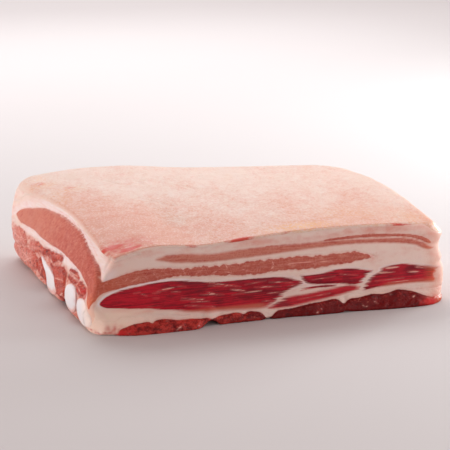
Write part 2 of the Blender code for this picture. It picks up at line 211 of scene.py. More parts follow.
# --- The slab's outer form, as the solids of the frame have it
@dataclass
class SlabForm:
    """The slab's outer form: a rounded block of this size, warped to measured edges."""

    length: float = 220.0
    depth: float = 172.0
    thickness: float = 50.0
    front_y: float = -84.0
    back_y: float = 90.0
    left_x: float = -105.0
    right_x: float = 113.0
    left_rim_x: float = -93.0
    belly_height: float = 9.0
    left_bulge: float = 5.0
    right_bulge: float = 1.0
    crown: float = 1.2
    corners: tuple[float, float, float, float] = (10.0, 26.0, 11.0, 2.2)
    front_top_z: Knots = knots(
        -100, 45, -80, 47.3, -60, 48.7, -38, 47, -15, 48.5, 5, 50, 60, 50.8, 85, 49.5, 110, 47,
    )
    back_top_z: Knots = knots(-108, 53, -90, 55, -50, 55.5, 0, 51.5, 50, 49, 110, 48)
    left_top_z: Knots = knots(-86, 45.5, -60, 49, -30, 51, 0, 51.5, 40, 51.5, 70, 52.5, 92, 53.5)
    left_base_x: Knots = knots(-86, -101, 0, -106, 90, -110)
    left_top_x: Knots = knots(-86, -90, -40, -92.5, 0, -94, 35, -99, 65, -105.5, 92, -108)
    right_base_x: Knots = knots(-86, 113, 0, 116, 90, 112)
    right_top_x: Knots = knots(-86, 111.5, -30, 116.5, 30, 117.5, 90, 112)
    back_base_y: Knots = knots(-110, 90, 0, 88, 110, 80)
    back_top_y: Knots = knots(-110, 93, -50, 94, 0, 91, 110, 84)
    front_belly: Knots = knots(-100, 1.5, -80, 8, -45, 7, -30, 3.5, -10, 2.5, 30, 3, 60, 4, 90, 6, 110, 4)
    seams: tuple[tuple[float, float], ...] = ((-32.5, 2.6), (2.5, 0.5), (49.5, 0.6))
    seam_half_width: float = 6.0
    seam_reach: float = 24.0

    def outline(self, spacings: Floats) -> tuple[Array, Array]:
        """Points and outward normals of the plain block's plan, anticlockwise from the front's left end.

        Each side is a straight run and then a quarter circle, stepped at its own spacing. The count is made
        a multiple of four, so that rings can be halved twice.

        Args:
            spacings: steps along the front, right, back and left sides.

        Returns:
            Plan points (n, 2) and normals (n, 2).
        """
        x, y = self.length / 2, self.depth / 2
        ends = np.array([(-x, -y), (x, -y), (x, y), (-x, y)])
        headings = np.array([(1.0, 0.0), (0.0, 1.0), (-1.0, 0.0), (0.0, -1.0)])
        points, normals = [], []
        for k, (end, heading, step) in enumerate(zip(ends, headings, spacings)):
            before, corner = self.corners[k - 1], self.corners[k]
            run = (self.length, self.depth)[k % 2] - before - corner
            start = end + before * heading
            normal = np.array([heading[1], -heading[0]])
            count = 4 * max(1, round(run / step / 4))
            points.append(start + np.linspace(0, run, count, endpoint=False)[:, None] * heading)
            normals.append(np.tile(normal, (count, 1)))
            bend = 4 * max(2, round(corner * math.pi / 2 / step / 4))
            angle = np.linspace(0, math.pi / 2, bend, endpoint=False)[:, None]
            turned = normal * np.cos(angle) + heading * np.sin(angle)
            points.append(start + run * heading - corner * normal + corner * turned)
            normals.append(turned)
        return np.concatenate(points), np.concatenate(normals)

    def top_radius(self, plan: Array) -> Array:
        """Rounding of the rind's rim: crisp along the front, soft along the right and the back."""
        a, b = plan[:, 0] / (self.length / 2), plan[:, 1] / (self.depth / 2)
        return 1.1 + 7 * ramp(a, 0.6, 1) + 6 * ramp(b, 0.3, 1) + 0.6 * ramp(-a, 0.7, 1)

    def foot_radius(self, plan: Array) -> Array:
        """Rounding of the foot."""
        a, b = plan[:, 0] / (self.length / 2), plan[:, 1] / (self.depth / 2)
        return 1.6 + 0.8 * ramp(-a, 0.7, 1) + 2.4 * ramp(b, 0.3, 1)

    def top(self, x: Array, y: Array) -> Array:
        """Height of the rind: front and back edges blended, bent to the left edge, and crowned between.

        Args:
            x: places along the slab.
            y: places from front to back.

        Returns:
            The heights.
        """
        v = np.clip((y - self.front_y) / (self.back_y - self.front_y), 0, 1)
        level = curve(self.front_top_z, x) * (1 - v) + curve(self.back_top_z, x) * v
        rim = self.left_rim_x
        at_left = curve(self.front_top_z, rim) * (1 - v) + curve(self.back_top_z, rim) * v
        bend = (curve(self.left_top_z, y) - at_left) * (1 - ramp(x, -98, -30))
        droop = 2.8 * ramp(x, -64, -96) * (0.12 + 0.88 * ramp(y, -20, -78))
        return level + bend + self.crown * np.sin(math.pi * v) * ramp(x, -60, 0) - droop

    def base(self, x: Array, y: Array) -> Array:
        """Height of the underside: flat, but for the grooves between the under muscles at the front."""
        grooves = sum(rise * (1 - ramp(abs(x - at), 0, self.seam_half_width)) for at, rise in self.seams)
        return grooves * (1 - ramp(y, self.front_y, self.front_y + self.seam_reach))

    def place(self, plan: Array, height: Array) -> Array:
        """Carries points of the plain block onto the slab.

        The plan's two shares run between the slab's warped walls at the point's height, whose middle bows
        outwards, and the height's share runs between the underside and the rind.

        Args:
            plan: points of the block's plan, (..., 2).
            height: height above the block's base, from 0 to its thickness.

        Returns:
            Points of the slab, (..., 3).
        """
        u = (plan[..., 0] / (self.length / 2) + 1) / 2
        v = (plan[..., 1] / (self.depth / 2) + 1) / 2
        h = height / self.thickness
        x = self.left_x + (self.right_x - self.left_x) * u
        swell = curve(self.front_belly, x) * np.clip(1 - height / self.belly_height, 0, 1)
        front = self.front_y - swell
        back = curve(self.back_base_y, x) * (1 - h) + curve(self.back_top_y, x) * h
        y = front + (back - front) * v
        left = self.rib_end_x(y, h)
        right = curve(self.right_base_x, y) * (1 - h) + curve(self.right_top_x, y) * h
        right = right + self.right_bulge * np.sin(math.pi * np.clip(h, 0, 1))
        x = left + (right - left) * u
        base = self.base(x, y)
        return np.stack([x, y, base + h * (self.top(x, y) - base)], axis=-1)

    def rib_end_x(self, y: Array, h: Array) -> Array:
        """Where the rib end's wall stands, at a place across it and a share of the height."""
        straight = curve(self.left_base_x, y) * (1 - h) + curve(self.left_top_x, y) * h
        return straight - self.left_bulge * np.sin(math.pi * np.clip(h, 0, 1))

    def wall_x(self, y: Array, z: Array) -> Array:
        """Where the rib end's wall stands, at a place across it and a height in millimetres."""
        return self.rib_end_x(y, np.clip(z / self.top(-100 + 0 * y, y), 0, 1))

    def eased(self, points: Array) -> Array:
        """Rounds the upright corner of the front cut and the rib end, most at the foot.

        A point outside a quarter circle at the corner is drawn straight back onto it. The circle's radius is
        1 mm half-way up, 13 mm near the foot and 4 mm in the fat cap, where its middle lies 2 mm further in.

        Args:
            points: places on the slab, (n, 3).

        Returns:
            The places, moved.
        """
        x, y, z = points.T
        radius = 1.0 + 12.0 * ramp(z, 20, 7) + 3.2 * ramp(z, 32, 38)
        swell = curve(self.front_belly, x) * np.clip(1 - z / self.belly_height, 0, 1)
        hub_x = self.wall_x(np.full(len(x), self.front_y), z) + radius + 2.0 * ramp(z, 31.5, 33)
        hub_y = self.front_y - swell + radius
        off_x, off_y = np.minimum(x - hub_x, 0), np.minimum(y - hub_y, 0)
        off = np.hypot(off_x, off_y)
        share = np.where((off > radius) & (off_x < 0) & (off_y < 0), 1 - radius / np.maximum(off, 1e-9), 0)
        return points - np.stack([off_x * share, off_y * share, 0 * z], axis=-1)

    def depth_share(self, y: Array) -> Array:
        """0 at the front cut and 1 at the back."""
        return np.clip((y - self.front_y) / self.depth, 0, 1)


# --- Meshes made of rings
@dataclass
class RingMesh:
    """A closed mesh made of rings from bottom to top, each as long as the last, half as long, or a pole."""

    rings: list[Array] = field(default_factory=list)

    def add(self, ring: Array) -> None:
        """Adds the next ring up: (n, 3), anticlockwise seen from above."""
        self.rings.append(np.asarray(ring, float).reshape(-1, 3))

    @property
    def points(self) -> Array:
        """All the rings' points, in order."""
        return np.concatenate(self.rings)

    def faces(self) -> tuple[Array, Array]:
        """Quads and triangles between the rings, facing outwards.

        Rings of one length are joined by quads. Where one is half the other, each of its sides takes three
        triangles, and a pole takes a fan.

        Returns:
            Quads (n, 4) and triangles (m, 3), as point numbers.
        """
        quads, triangles, start = [], [], 0
        for low, high in zip(self.rings, self.rings[1:]):
            m, n, above = len(low), len(high), start + len(low)
            if m == n:
                j = np.arange(m)
                k = (j + 1) % m
                quads.append(np.column_stack([start + j, start + k, above + k, above + j]))
            elif n == 1:
                j = np.arange(m)
                triangles.append(np.column_stack([start + j, start + (j + 1) % m, np.full(m, above)]))
            elif m == 1:
                j = np.arange(n)
                triangles.append(np.column_stack([np.full(n, start), above + (j + 1) % n, above + j]))
            elif m == 2 * n:
                j = np.arange(n)
                k, near, mid, far = (j + 1) % n, 2 * j, 2 * j + 1, (2 * j + 2) % m
                triangles.append(np.column_stack([start + near, start + mid, above + j]))
                triangles.append(np.column_stack([start + mid, start + far, above + k]))
                triangles.append(np.column_stack([start + mid, above + k, above + j]))
            elif n == 2 * m:
                j = np.arange(m)
                k, near, mid, far = (j + 1) % m, 2 * j, 2 * j + 1, (2 * j + 2) % n
                triangles.append(np.column_stack([start + j, above + mid, above + near]))
                triangles.append(np.column_stack([start + j, start + k, above + mid]))
                triangles.append(np.column_stack([start + k, above + far, above + mid]))
            else:
                raise ValueError(f"rings of {m} and {n} points can't be joined")
            start = above
        empty = np.zeros((0, 3), int)
        return np.concatenate(quads or [np.zeros((0, 4), int)]), np.concatenate(triangles or [empty])


def outward(points: Array, quads: Array, triangles: Array) -> Array:
    """Unit normals at the points: the sum of the normals of the faces round each.

    Args:
        points: (n, 3).
        quads: (m, 4).
        triangles: (k, 3).

    Returns:
        (n, 3).
    """
    total = np.zeros_like(points)
    for faces, (a, b, c, d) in ((quads, (0, 2, 1, 3)), (triangles, (0, 1, 0, 2))):
        corner = points[faces]
        normal = np.cross(corner[:, b] - corner[:, a], corner[:, d] - corner[:, c])
        for k in range(faces.shape[1]):
            np.add.at(total, faces[:, k], normal)
    return total / np.maximum(np.linalg.norm(total, axis=1, keepdims=True), 1e-12)


def make_piece(name: str, points: Array, quads: Array, triangles: Array, values: dict[str, Array],
               material: bpy.types.Material) -> bpy.types.Object:
    """Makes a smooth mesh object with one value of each kind stored at each point.

    Args:
        name: the object's name.
        points: (n, 3), in millimetres.
        quads: (m, 4) point numbers.
        triangles: (k, 3) point numbers.
        values: name of each stored value, and one number for each point.
        material: the piece's finish.

    Returns:
        The object, at the origin.
    """
    mesh = bpy.data.meshes.new(name)
    sizes = np.concatenate([np.full(len(quads), 4), np.full(len(triangles), 3)])
    corners = np.concatenate([quads.ravel(), triangles.ravel()]).astype(np.int32)
    mesh.vertices.add(len(points))
    mesh.vertices.foreach_set("co", (points * MM).astype(np.float32).ravel())
    mesh.loops.add(len(corners))
    mesh.loops.foreach_set("vertex_index", corners)
    mesh.polygons.add(len(sizes))
    mesh.polygons.foreach_set("loop_start", np.concatenate([[0], np.cumsum(sizes)[:-1]]).astype(np.int32))
    mesh.polygons.foreach_set("use_smooth", np.ones(len(sizes), bool))
    mesh.update(calc_edges=True)
    mesh.validate()
    for key, column in values.items():
        layer = mesh.attributes.new(key, "FLOAT", "POINT")
        layer.data.foreach_set("value", np.asarray(column, np.float32))
    mesh.materials.append(material)
    piece = bpy.data.objects.new(name, mesh)
    bpy.context.scene.collection.objects.link(piece)
    return piece


# --- What lies where in the slab
class Layer(IntEnum):
    """The layers of lean, in the order in which they are compared and chosen from."""

    MIDDLE = 0
    UPPER = 1
    RED = 2
    UNDER = 3
    RIB = 4


@dataclass(frozen=True)
class Streak:
    """A streak of marbling or a thin line: from end to end in millimetres, and its greatest half width."""

    start: tuple[float, float]
    end: tuple[float, float]
    half_width: float

    def depth(self, across: Array, up: Array) -> Array:
        """Distance into the streak, which tapers to both ends.

        Args:
            across: first coordinate of each place.
            up: second coordinate of each place.

        Returns:
            The distances.
        """
        (ax, az), (bx, bz) = self.start, self.end
        dx, dz = bx - ax, bz - az
        share = np.clip(((across - ax) * dx + (up - az) * dz) / (dx * dx + dz * dz), 0, 1)
        off = np.hypot(across - ax - share * dx, up - az - share * dz)
        return self.half_width * (1 - (2 * share - 1) ** 2) - off


def streaks_of(*rows: Floats) -> tuple[Streak, ...]:
    """Streaks from rows of numbers: one end, the other end and the half width."""
    return tuple(Streak(row[:2], row[2:4], row[4]) for row in rows)


@dataclass(frozen=True)
class Spot:
    """A soft patch in two or three dimensions: its middle, its half sizes, and its strength."""

    middle: Floats
    half: Floats
    strength: float = 1.0

    def share(self, points: Array) -> Array:
        """How strongly it shows at each point."""
        near = np.sum(((points - np.array(self.middle)) / np.array(self.half)) ** 2, axis=-1)
        return self.strength * np.exp(-near)


def spots(*rows: Floats) -> tuple[Spot, ...]:
    """Spots from rows of numbers: the middle, the half sizes and the strength."""
    size = len(rows[0]) // 2
    return tuple(Spot(row[:size], row[size:-1], row[-1]) for row in rows)


def strongest(patches: Iterable[Spot], points: Array) -> Array:
    """The strongest of several spots at each point.

    Args:
        patches: the spots.
        points: places, in as many dimensions as the spots.

    Returns:
        Their share at each place.
    """
    return functools.reduce(np.maximum, [spot.share(points) for spot in patches])


@dataclass
class LongLayers:
    """The layers as the long front cut shows them, as outlines across (x) and up (z), in millimetres."""

    middle_upper: Knots = knots(
        -130, 30, -97, 30, -94, 30.8, -90.6, 31.8, -86, 32.8, -83, 33.6, -80, 34.2, -75.4, 35.2, -68, 35.6,
        -64, 36, -56, 35.2, -50, 34.5, -46, 34.2, -37, 34.3, -10, 34.8, 5, 35.3, 20, 35.2, 30, 35, 45, 35.3,
        55, 35.1, 61, 33.6, 67, 31,
    )
    middle_lower: Knots = knots(
        -130, 19, -101, 19, -98.8, 19.6, -96.3, 22.7, -92.3, 24.5, -87, 25.4, -80, 26.8, -72, 27.7,
        -66, 28.1, -60, 29, -52, 29.8, -40, 29, -30, 28.2, -20, 27.6, -10, 26.8, 0, 27, 10, 28, 20, 27.4,
        30, 27.3, 40, 27.8, 52.6, 28.6, 61, 29.9, 67, 30.9,
    )
    upper_lean: Knots = knots(
        -66, 40.6, -60, 42, -57.6, 42.8, -50, 42.6, -37, 41.3, -30, 41, -20, 41.8, -10, 42.5, 0, 43, 21, 43,
        32.5, 42.9, 39.8, 44.2, 45.5, 44.7, 56.3, 44.9, 65, 45, 72.4, 44.3, 84, 43.5, 91.6, 42.4, 97.5, 40.5,
        102, 38.4, 108, 35.4, 130, 33.6, 130, 30.4, 108, 31.4, 101.9, 32.4, 97.7, 34.2, 92.9, 36.3, 84, 37.8,
        69.6, 39.4, 50.7, 40.1, 38.2, 39.8, 20, 39, 0, 37.8, -20, 37, -37, 36.8, -50, 37.6, -56, 38.5,
        -60, 39.6,
    )
    upper_gap: Knots = knots(34, 42.6, 56.3, 42.7, 72.4, 42, 89.9, 40.2, 97.6, 37.6, 103, 35.4, 130, 32.6)
    reds: tuple[Knots, ...] = (
        knots(
            -97, 17.9, -94.8, 20.3, -92.5, 21.8, -90, 23, -84.4, 24.7, -77.9, 25.7, -70.7, 26.3, -68.3, 26.9,
            -60.2, 27.6, -52.1, 27.5, -45, 26.5, -41, 25.9, -33, 24.8, -25.4, 24.4, -12, 24.5, 0.5, 24.5,
            8, 24, 16, 22.9, 18.3, 21.8, 24.4, 19.5, 20, 17.9, 14, 16.2, 12, 14, 8, 11.4, 3, 7.9, 0, 6.8,
            -10, 7.1, -20, 7.5, -37, 8.1, -46, 8.9, -50, 10, -56, 10.9, -62, 11.5, -67, 12.5, -76.5, 13.3,
            -83.3, 14.4, -90.5, 15, -94.5, 15.9,
        ),
        knots(
            21.4, 23.4, 27, 23.5, 35.6, 23.7, 40, 24.6, 44, 25.4, 52, 25.3, 58, 24.5, 61.4, 23.4, 67, 22.1,
            61.7, 21, 60.4, 18, 58.1, 15.8, 55.8, 15.2, 47, 16.7, 38.6, 17.2, 27.2, 18.1, 24.6, 20,
        ),
        knots(21, 15, 27, 16.3, 33, 16.8, 45, 16.1, 43, 15.2, 33, 15.6),
        knots(
            0.6, 6, 6.8, 8.2, 13.3, 11.3, 17.5, 12, 25, 12.2, 33, 13.3, 44.3, 14.7, 49, 15.1, 57, 14.8,
            58.6, 13.4, 55.8, 12, 44.4, 9.7, 33, 8.1, 21.5, 7, 14.7, 6,
        ),
        knots(
            60.4, 11, 62.6, 14.6, 64.9, 17.8, 67.6, 20, 72.4, 21.6, 70.4, 23.4, 78.7, 24.9, 84.5, 25.1,
            90.4, 24.1, 102, 22.4, 108, 19.9, 130, 18, 130, 12, 102.5, 12.7, 90.7, 13.2, 79, 12.9,
            67.4, 12.3,
        ),
    )
    under_top: Knots = knots(
        -90, 0, -87.6, 1.2, -86.3, 3, -84, 3.9, -79, 5.2, -72.6, 5.9, -69.3, 6, -67.4, 5.3, -66, 5.9,
        -62.7, 6.6, -59.4, 6.5, -53, 5.6, -43.2, 5.3, -37.8, 4.9, -34.8, 5, -31.5, 4.3, -28, 4.8, -22.9, 5.4,
        -14.9, 5.4, -12.5, 4.6, -9.9, 5.6, -5.7, 5.3, -1.6, 3.8, 0.3, 1.6, 1.5, 0.4, 3, 1, 6.5, 3.9, 10.8, 5,
        15, 5, 21.4, 5.8, 28.8, 6.8, 35.7, 7.3, 45.3, 7.2, 48.2, 5.2, 51, 6.8, 58, 7.5, 67.4, 8.6, 72, 8.2,
        76.6, 8.5, 82.6, 9.8, 87.9, 8.9, 93.4, 7.5, 96.1, 6.4, 101.7, 4.5, 109.4, 3.7, 130, 3.4,
    )
    under_seams: tuple[float, ...] = (-32.5, 2.0, 49.0)
    streaks: tuple[Streak, ...] = streaks_of(
        (-77.2, 22.4, -73.2, 22.7, 0.17), (-72.8, 21.8, -69, 20.1, 0.23), (-64.2, 22.3, -53.4, 23.8, 0.34),
        (-66.2, 21.4, -61.6, 21.6, 0.17), (-66.4, 18.4, -62.2, 18.3, 0.23),
        (-55.2, 21.2, -49.8, 20.8, 0.18), (-49.4, 17.1, -36, 15.4, 0.18), (-50, 15.8, -37, 14.9, 0.12),
        (-43.6, 14.4, -33, 13.6, 0.13), (-47.6, 12.5, -29.4, 10.3, 0.28), (-52, 24.1, -46.6, 23.7, 0.12),
        (-82, 13.4, -66.4, 12.8, 0.22), (-34.6, 24.9, -14, 20.5, 0.3), (-33.6, 22.8, -18, 21.2, 0.23),
        (-20.4, 19.5, -11.4, 17.9, 0.34), (-19.6, 16.3, -1.6, 17.2, 0.28),
        (-38.4, 18.3, -24.2, 16.9, 0.19), (-34.6, 19.2, -29.4, 17.6, 0.47), (1.6, 15.1, 12.6, 15, 0.19),
        (-1.4, 10.8, 6.2, 10.4, 0.17), (-6.4, 19.5, 10, 18.6, 0.17), (2.6, 21.6, 17, 20.2, 0.17),
        (-12, 21.4, 1, 22.8, 0.12), (14, 18.2, 22, 19, 0.2), (43.2, 16.8, 51.2, 16.3, 0.23),
        (29, 20.6, 43, 21.4, 0.11), (46, 22.4, 57, 20.8, 0.12), (72.4, 23.1, 83, 23.6, 0.62),
        (64.6, 21.3, 80.4, 20.7, 0.4), (88, 20.2, 96, 19.3, 0.5), (93, 22.6, 100.4, 21.3, 0.19),
        (68, 16.2, 86, 16.6, 0.12), (76, 14.6, 98, 14.9, 0.13), (20, 9.6, 40, 11.6, 0.12),
    )
    pale_bits: tuple[Streak, ...] = streaks_of(
        (58.6, 3.9, 60.4, 1.9, 0.42), (60.4, 1.9, 62.6, 2.6, 0.34), (-54.2, 0.8, -50.4, 2.8, 0.36),
        (-59.6, 5.2, -57.4, 5.6, 0.25), (30.4, 1.4, 32.4, 2, 0.36), (90.2, 4.4, 92.4, 5.8, 0.5),
        (66, 4.6, 69, 3.2, 0.5), (76.4, 8.2, 78.4, 7.4, 0.42), (0.6, 2.2, 2.2, 4.6, 0.5),
        (2.2, 4.6, 3.8, 2.4, 0.4),
    )
    pale_veins: tuple[Streak, ...] = streaks_of(
        (-23.2, 34.6, -22, 31.6, 0.28), (-23.6, 30.5, -18.8, 28.7, 0.22), (4.4, 34.6, 5.6, 30.8, 0.23),
        (5.6, 31, 3.8, 29.3, 0.26), (-31.2, 29.7, -28.2, 31.1, 0.14), (-14.6, 30.9, -9.2, 29.7, 0.2),
        (-4.6, 31.1, 1.6, 31.2, 0.18), (11.6, 31.1, 20.4, 31.6, 0.23), (19, 31.6, 30, 31.3, 0.19),
        (29, 31.3, 42, 30.5, 0.19), (-86.8, 29.2, -85.4, 30.2, 0.13), (-81.6, 29.8, -79.8, 31.6, 0.12),
        (-78.2, 28.9, -73.4, 31.6, 0.14), (-65.8, 33.8, -64.2, 31.8, 0.14),
        (-63.8, 31.6, -62.2, 29.8, 0.15), (-58.8, 33.2, -57.2, 31.6, 0.12), (-48.2, 33.6, -46.4, 30, 0.17),
        (-40.6, 30.6, -36.8, 32.4, 0.13), (-70.6, 32.2, -68.6, 30.4, 0.11), (33.6, 34, 35.4, 32.2, 0.12),
        (46, 33.4, 48.2, 31.4, 0.11),
    )


@dataclass
class RibEnd:
    """The layers as the short left cut shows them, as outlines across (y) and up (z), in millimetres."""

    pink_upper: Knots = knots(
        -84, 32, -80.5, 34.6, -77.4, 36.8, -65.5, 40.8, -54.4, 43.2, -44.6, 45.9, -35, 47.9, -14, 48.3,
        8, 48.3, 25, 47.6, 33.5, 47.2, 47.5, 44.3, 60, 41.4, 67, 38.6, 71.5, 35.6, 84, 31,
    )
    pink_lower: Knots = knots(
        -84, 19, -81.2, 15.2, -78.2, 15.6, -76.4, 18.4, -75.2, 21.6, -72.1, 24.3, -64.4, 26.9, -56.9, 28.8,
        -50.4, 29.5, -39, 30.5, -27.7, 31, -13.8, 30.9, 8.4, 29.8, 24, 29.9, 37.1, 31, 52.5, 30.8,
        61.5, 30.7, 67.4, 32, 71.5, 33.6, 84, 37,
    )
    cap_line: Knots = knots(
        -74, 38.8, -69.8, 40.3, -66.2, 41.2, -54.5, 44.5, -41.3, 46.9, -26.8, 48, -8.9, 48, 10.2, 47.6,
        24, 47.2,
    )
    muscles: tuple[Knots, ...] = (
        knots(76.9, 23, 64.4, 26.2, 54.2, 25.4, 47.9, 21.1, 50.5, 16.5, 67.3, 14.4, 73.9, 15.8, 81.4, 16.5),
        knots(
            85.1, 11.1, 67.8, 13.2, 50.6, 15.4, 42, 16.8, 29.3, 16.8, 25, 15.4, 25.2, 11.2, 29.2, 6.4,
            50, 1.4, 78, 1.4,
        ),
        knots(
            44, 20.2, 38.4, 22.9, 29, 24.6, 15.3, 25.5, 4.7, 25.4, -4.9, 26.7, -16, 28.9, -23.7, 28.6,
            -22.3, 26.3, -11.6, 23.9, -8.4, 21.8, 0, 20.8, 8.9, 21.6, 23.2, 19.7, 33.6, 17.2, 42, 18.1,
        ),
        knots(22.4, 17.2, 18, 16.4, 9.6, 13.6, 7.2, 9.5, 8.9, 3.6, 21.6, 3.6, 26, 8.3, 24.1, 13),
        knots(
            3.4, 19, -9.1, 20.4, -13.5, 20.7, -25.1, 24.3, -32.2, 23.6, -35.4, 20.9, -33.1, 16.3,
            -34.4, 12.6, -32.1, 6.4, -17.6, 2.4, -14.4, 5.2, -13.4, 10.5, -8.2, 15.6,
        ),
        knots(-37, 25.8, -42.6, 27.2, -51, 27.8, -57.8, 26.6, -54.5, 24.9, -42.6, 24.3),
        knots(-36.4, 22, -45.7, 23.2, -56.4, 23.4, -54.5, 21.6, -40.8, 19.6),
        knots(
            -58.6, 24.6, -62.5, 25.4, -69.3, 23, -72.9, 21.4, -70.6, 18.4, -61.3, 17, -56.6, 18.9, -57, 21.7,
        ),
    )
    seams: tuple[Streak, ...] = streaks_of(
        (-6, 20.6, -26, 25.2, 0.35), (-14, 14, -32, 17.5, 0.23), (-22, 5, -31, 9.5, 0.3),
        (-40, 25, -55, 26.4, 0.25), (62, 24.6, 52, 18.4, 0.23), (74, 19.5, 56, 20.5, 0.2),
        (70, 12, 44, 11, 0.25), (62, 3.4, 36, 13.4, 0.25), (78, 6, 52, 6.4, 0.2), (36, 20, 14, 23.6, 0.12),
        (14, 13.4, 20, 6, 0.15), (-60, 22, -68, 20, 0.25),
    )


@dataclass(frozen=True)
class Reading:
    """What lies at each place: distances in millimetres, and shares from 0 to 1.

    lean is the distance into lean; soft is half the width of its edge, frill how much that wanders, and slope
    how fast the distance grows along the slab. red, dark and rib say which tissue it is. vein is the distance
    into marbling, and line into the thin lines of the fat. shade darkens the lean, or pales it where it is
    below zero. silver is the sheen of membrane, and warm the painted light of backlit thin flesh.
    muscle is the distance into a rib muscle, and ledge the height above the pink muscle's upper edge.
    """

    lean: Array
    soft: Array
    frill: Array
    slope: Array
    red: Array
    dark: Array
    rib: Array
    vein: Array
    shade: Array
    silver: Array
    # painted light: share of the glow of backlit thin flesh
    warm: Array
    muscle: Array
    ledge: Array
    line: Array


@dataclass(frozen=True)
class Places:
    """Places in the slab, and where each belongs on the outlines of the cuts.

    up is z less the layers' rise and fall. at_upper, at_red and at_under are x on the long cut, for the upper
    lean, the deep red and the under muscles. over_ledge is the height above the middle layer, over_gap that
    above the split in the upper lean, into_red the distance into deep red, and layer the nearest lean.
    """

    x: Array
    y: Array
    z: Array
    up: Array
    at_upper: Array
    at_red: Array
    at_under: Array
    over_ledge: Array
    over_gap: Array
    into_red: Array
    layer: Array

    @property
    def on_wall(self) -> Array:
        """1 on the rib end's wall, and 0 away from it."""
        return ramp(self.x, -84, -93)

    def nearest(self, layer: Layer) -> Array:
        """Whether each place is nearest to a layer."""
        return self.layer == layer


@dataclass(frozen=True)
class Run:
    """How a layer runs back from the long cut.

    left_end is x of its left end against y. Up to the tip its outlines are stretched, so that their first
    point meets that end. drift is how far they lie to the right at the back.
    """

    left_end: Knots
    first: float
    tip: float
    drift: float = 0.0


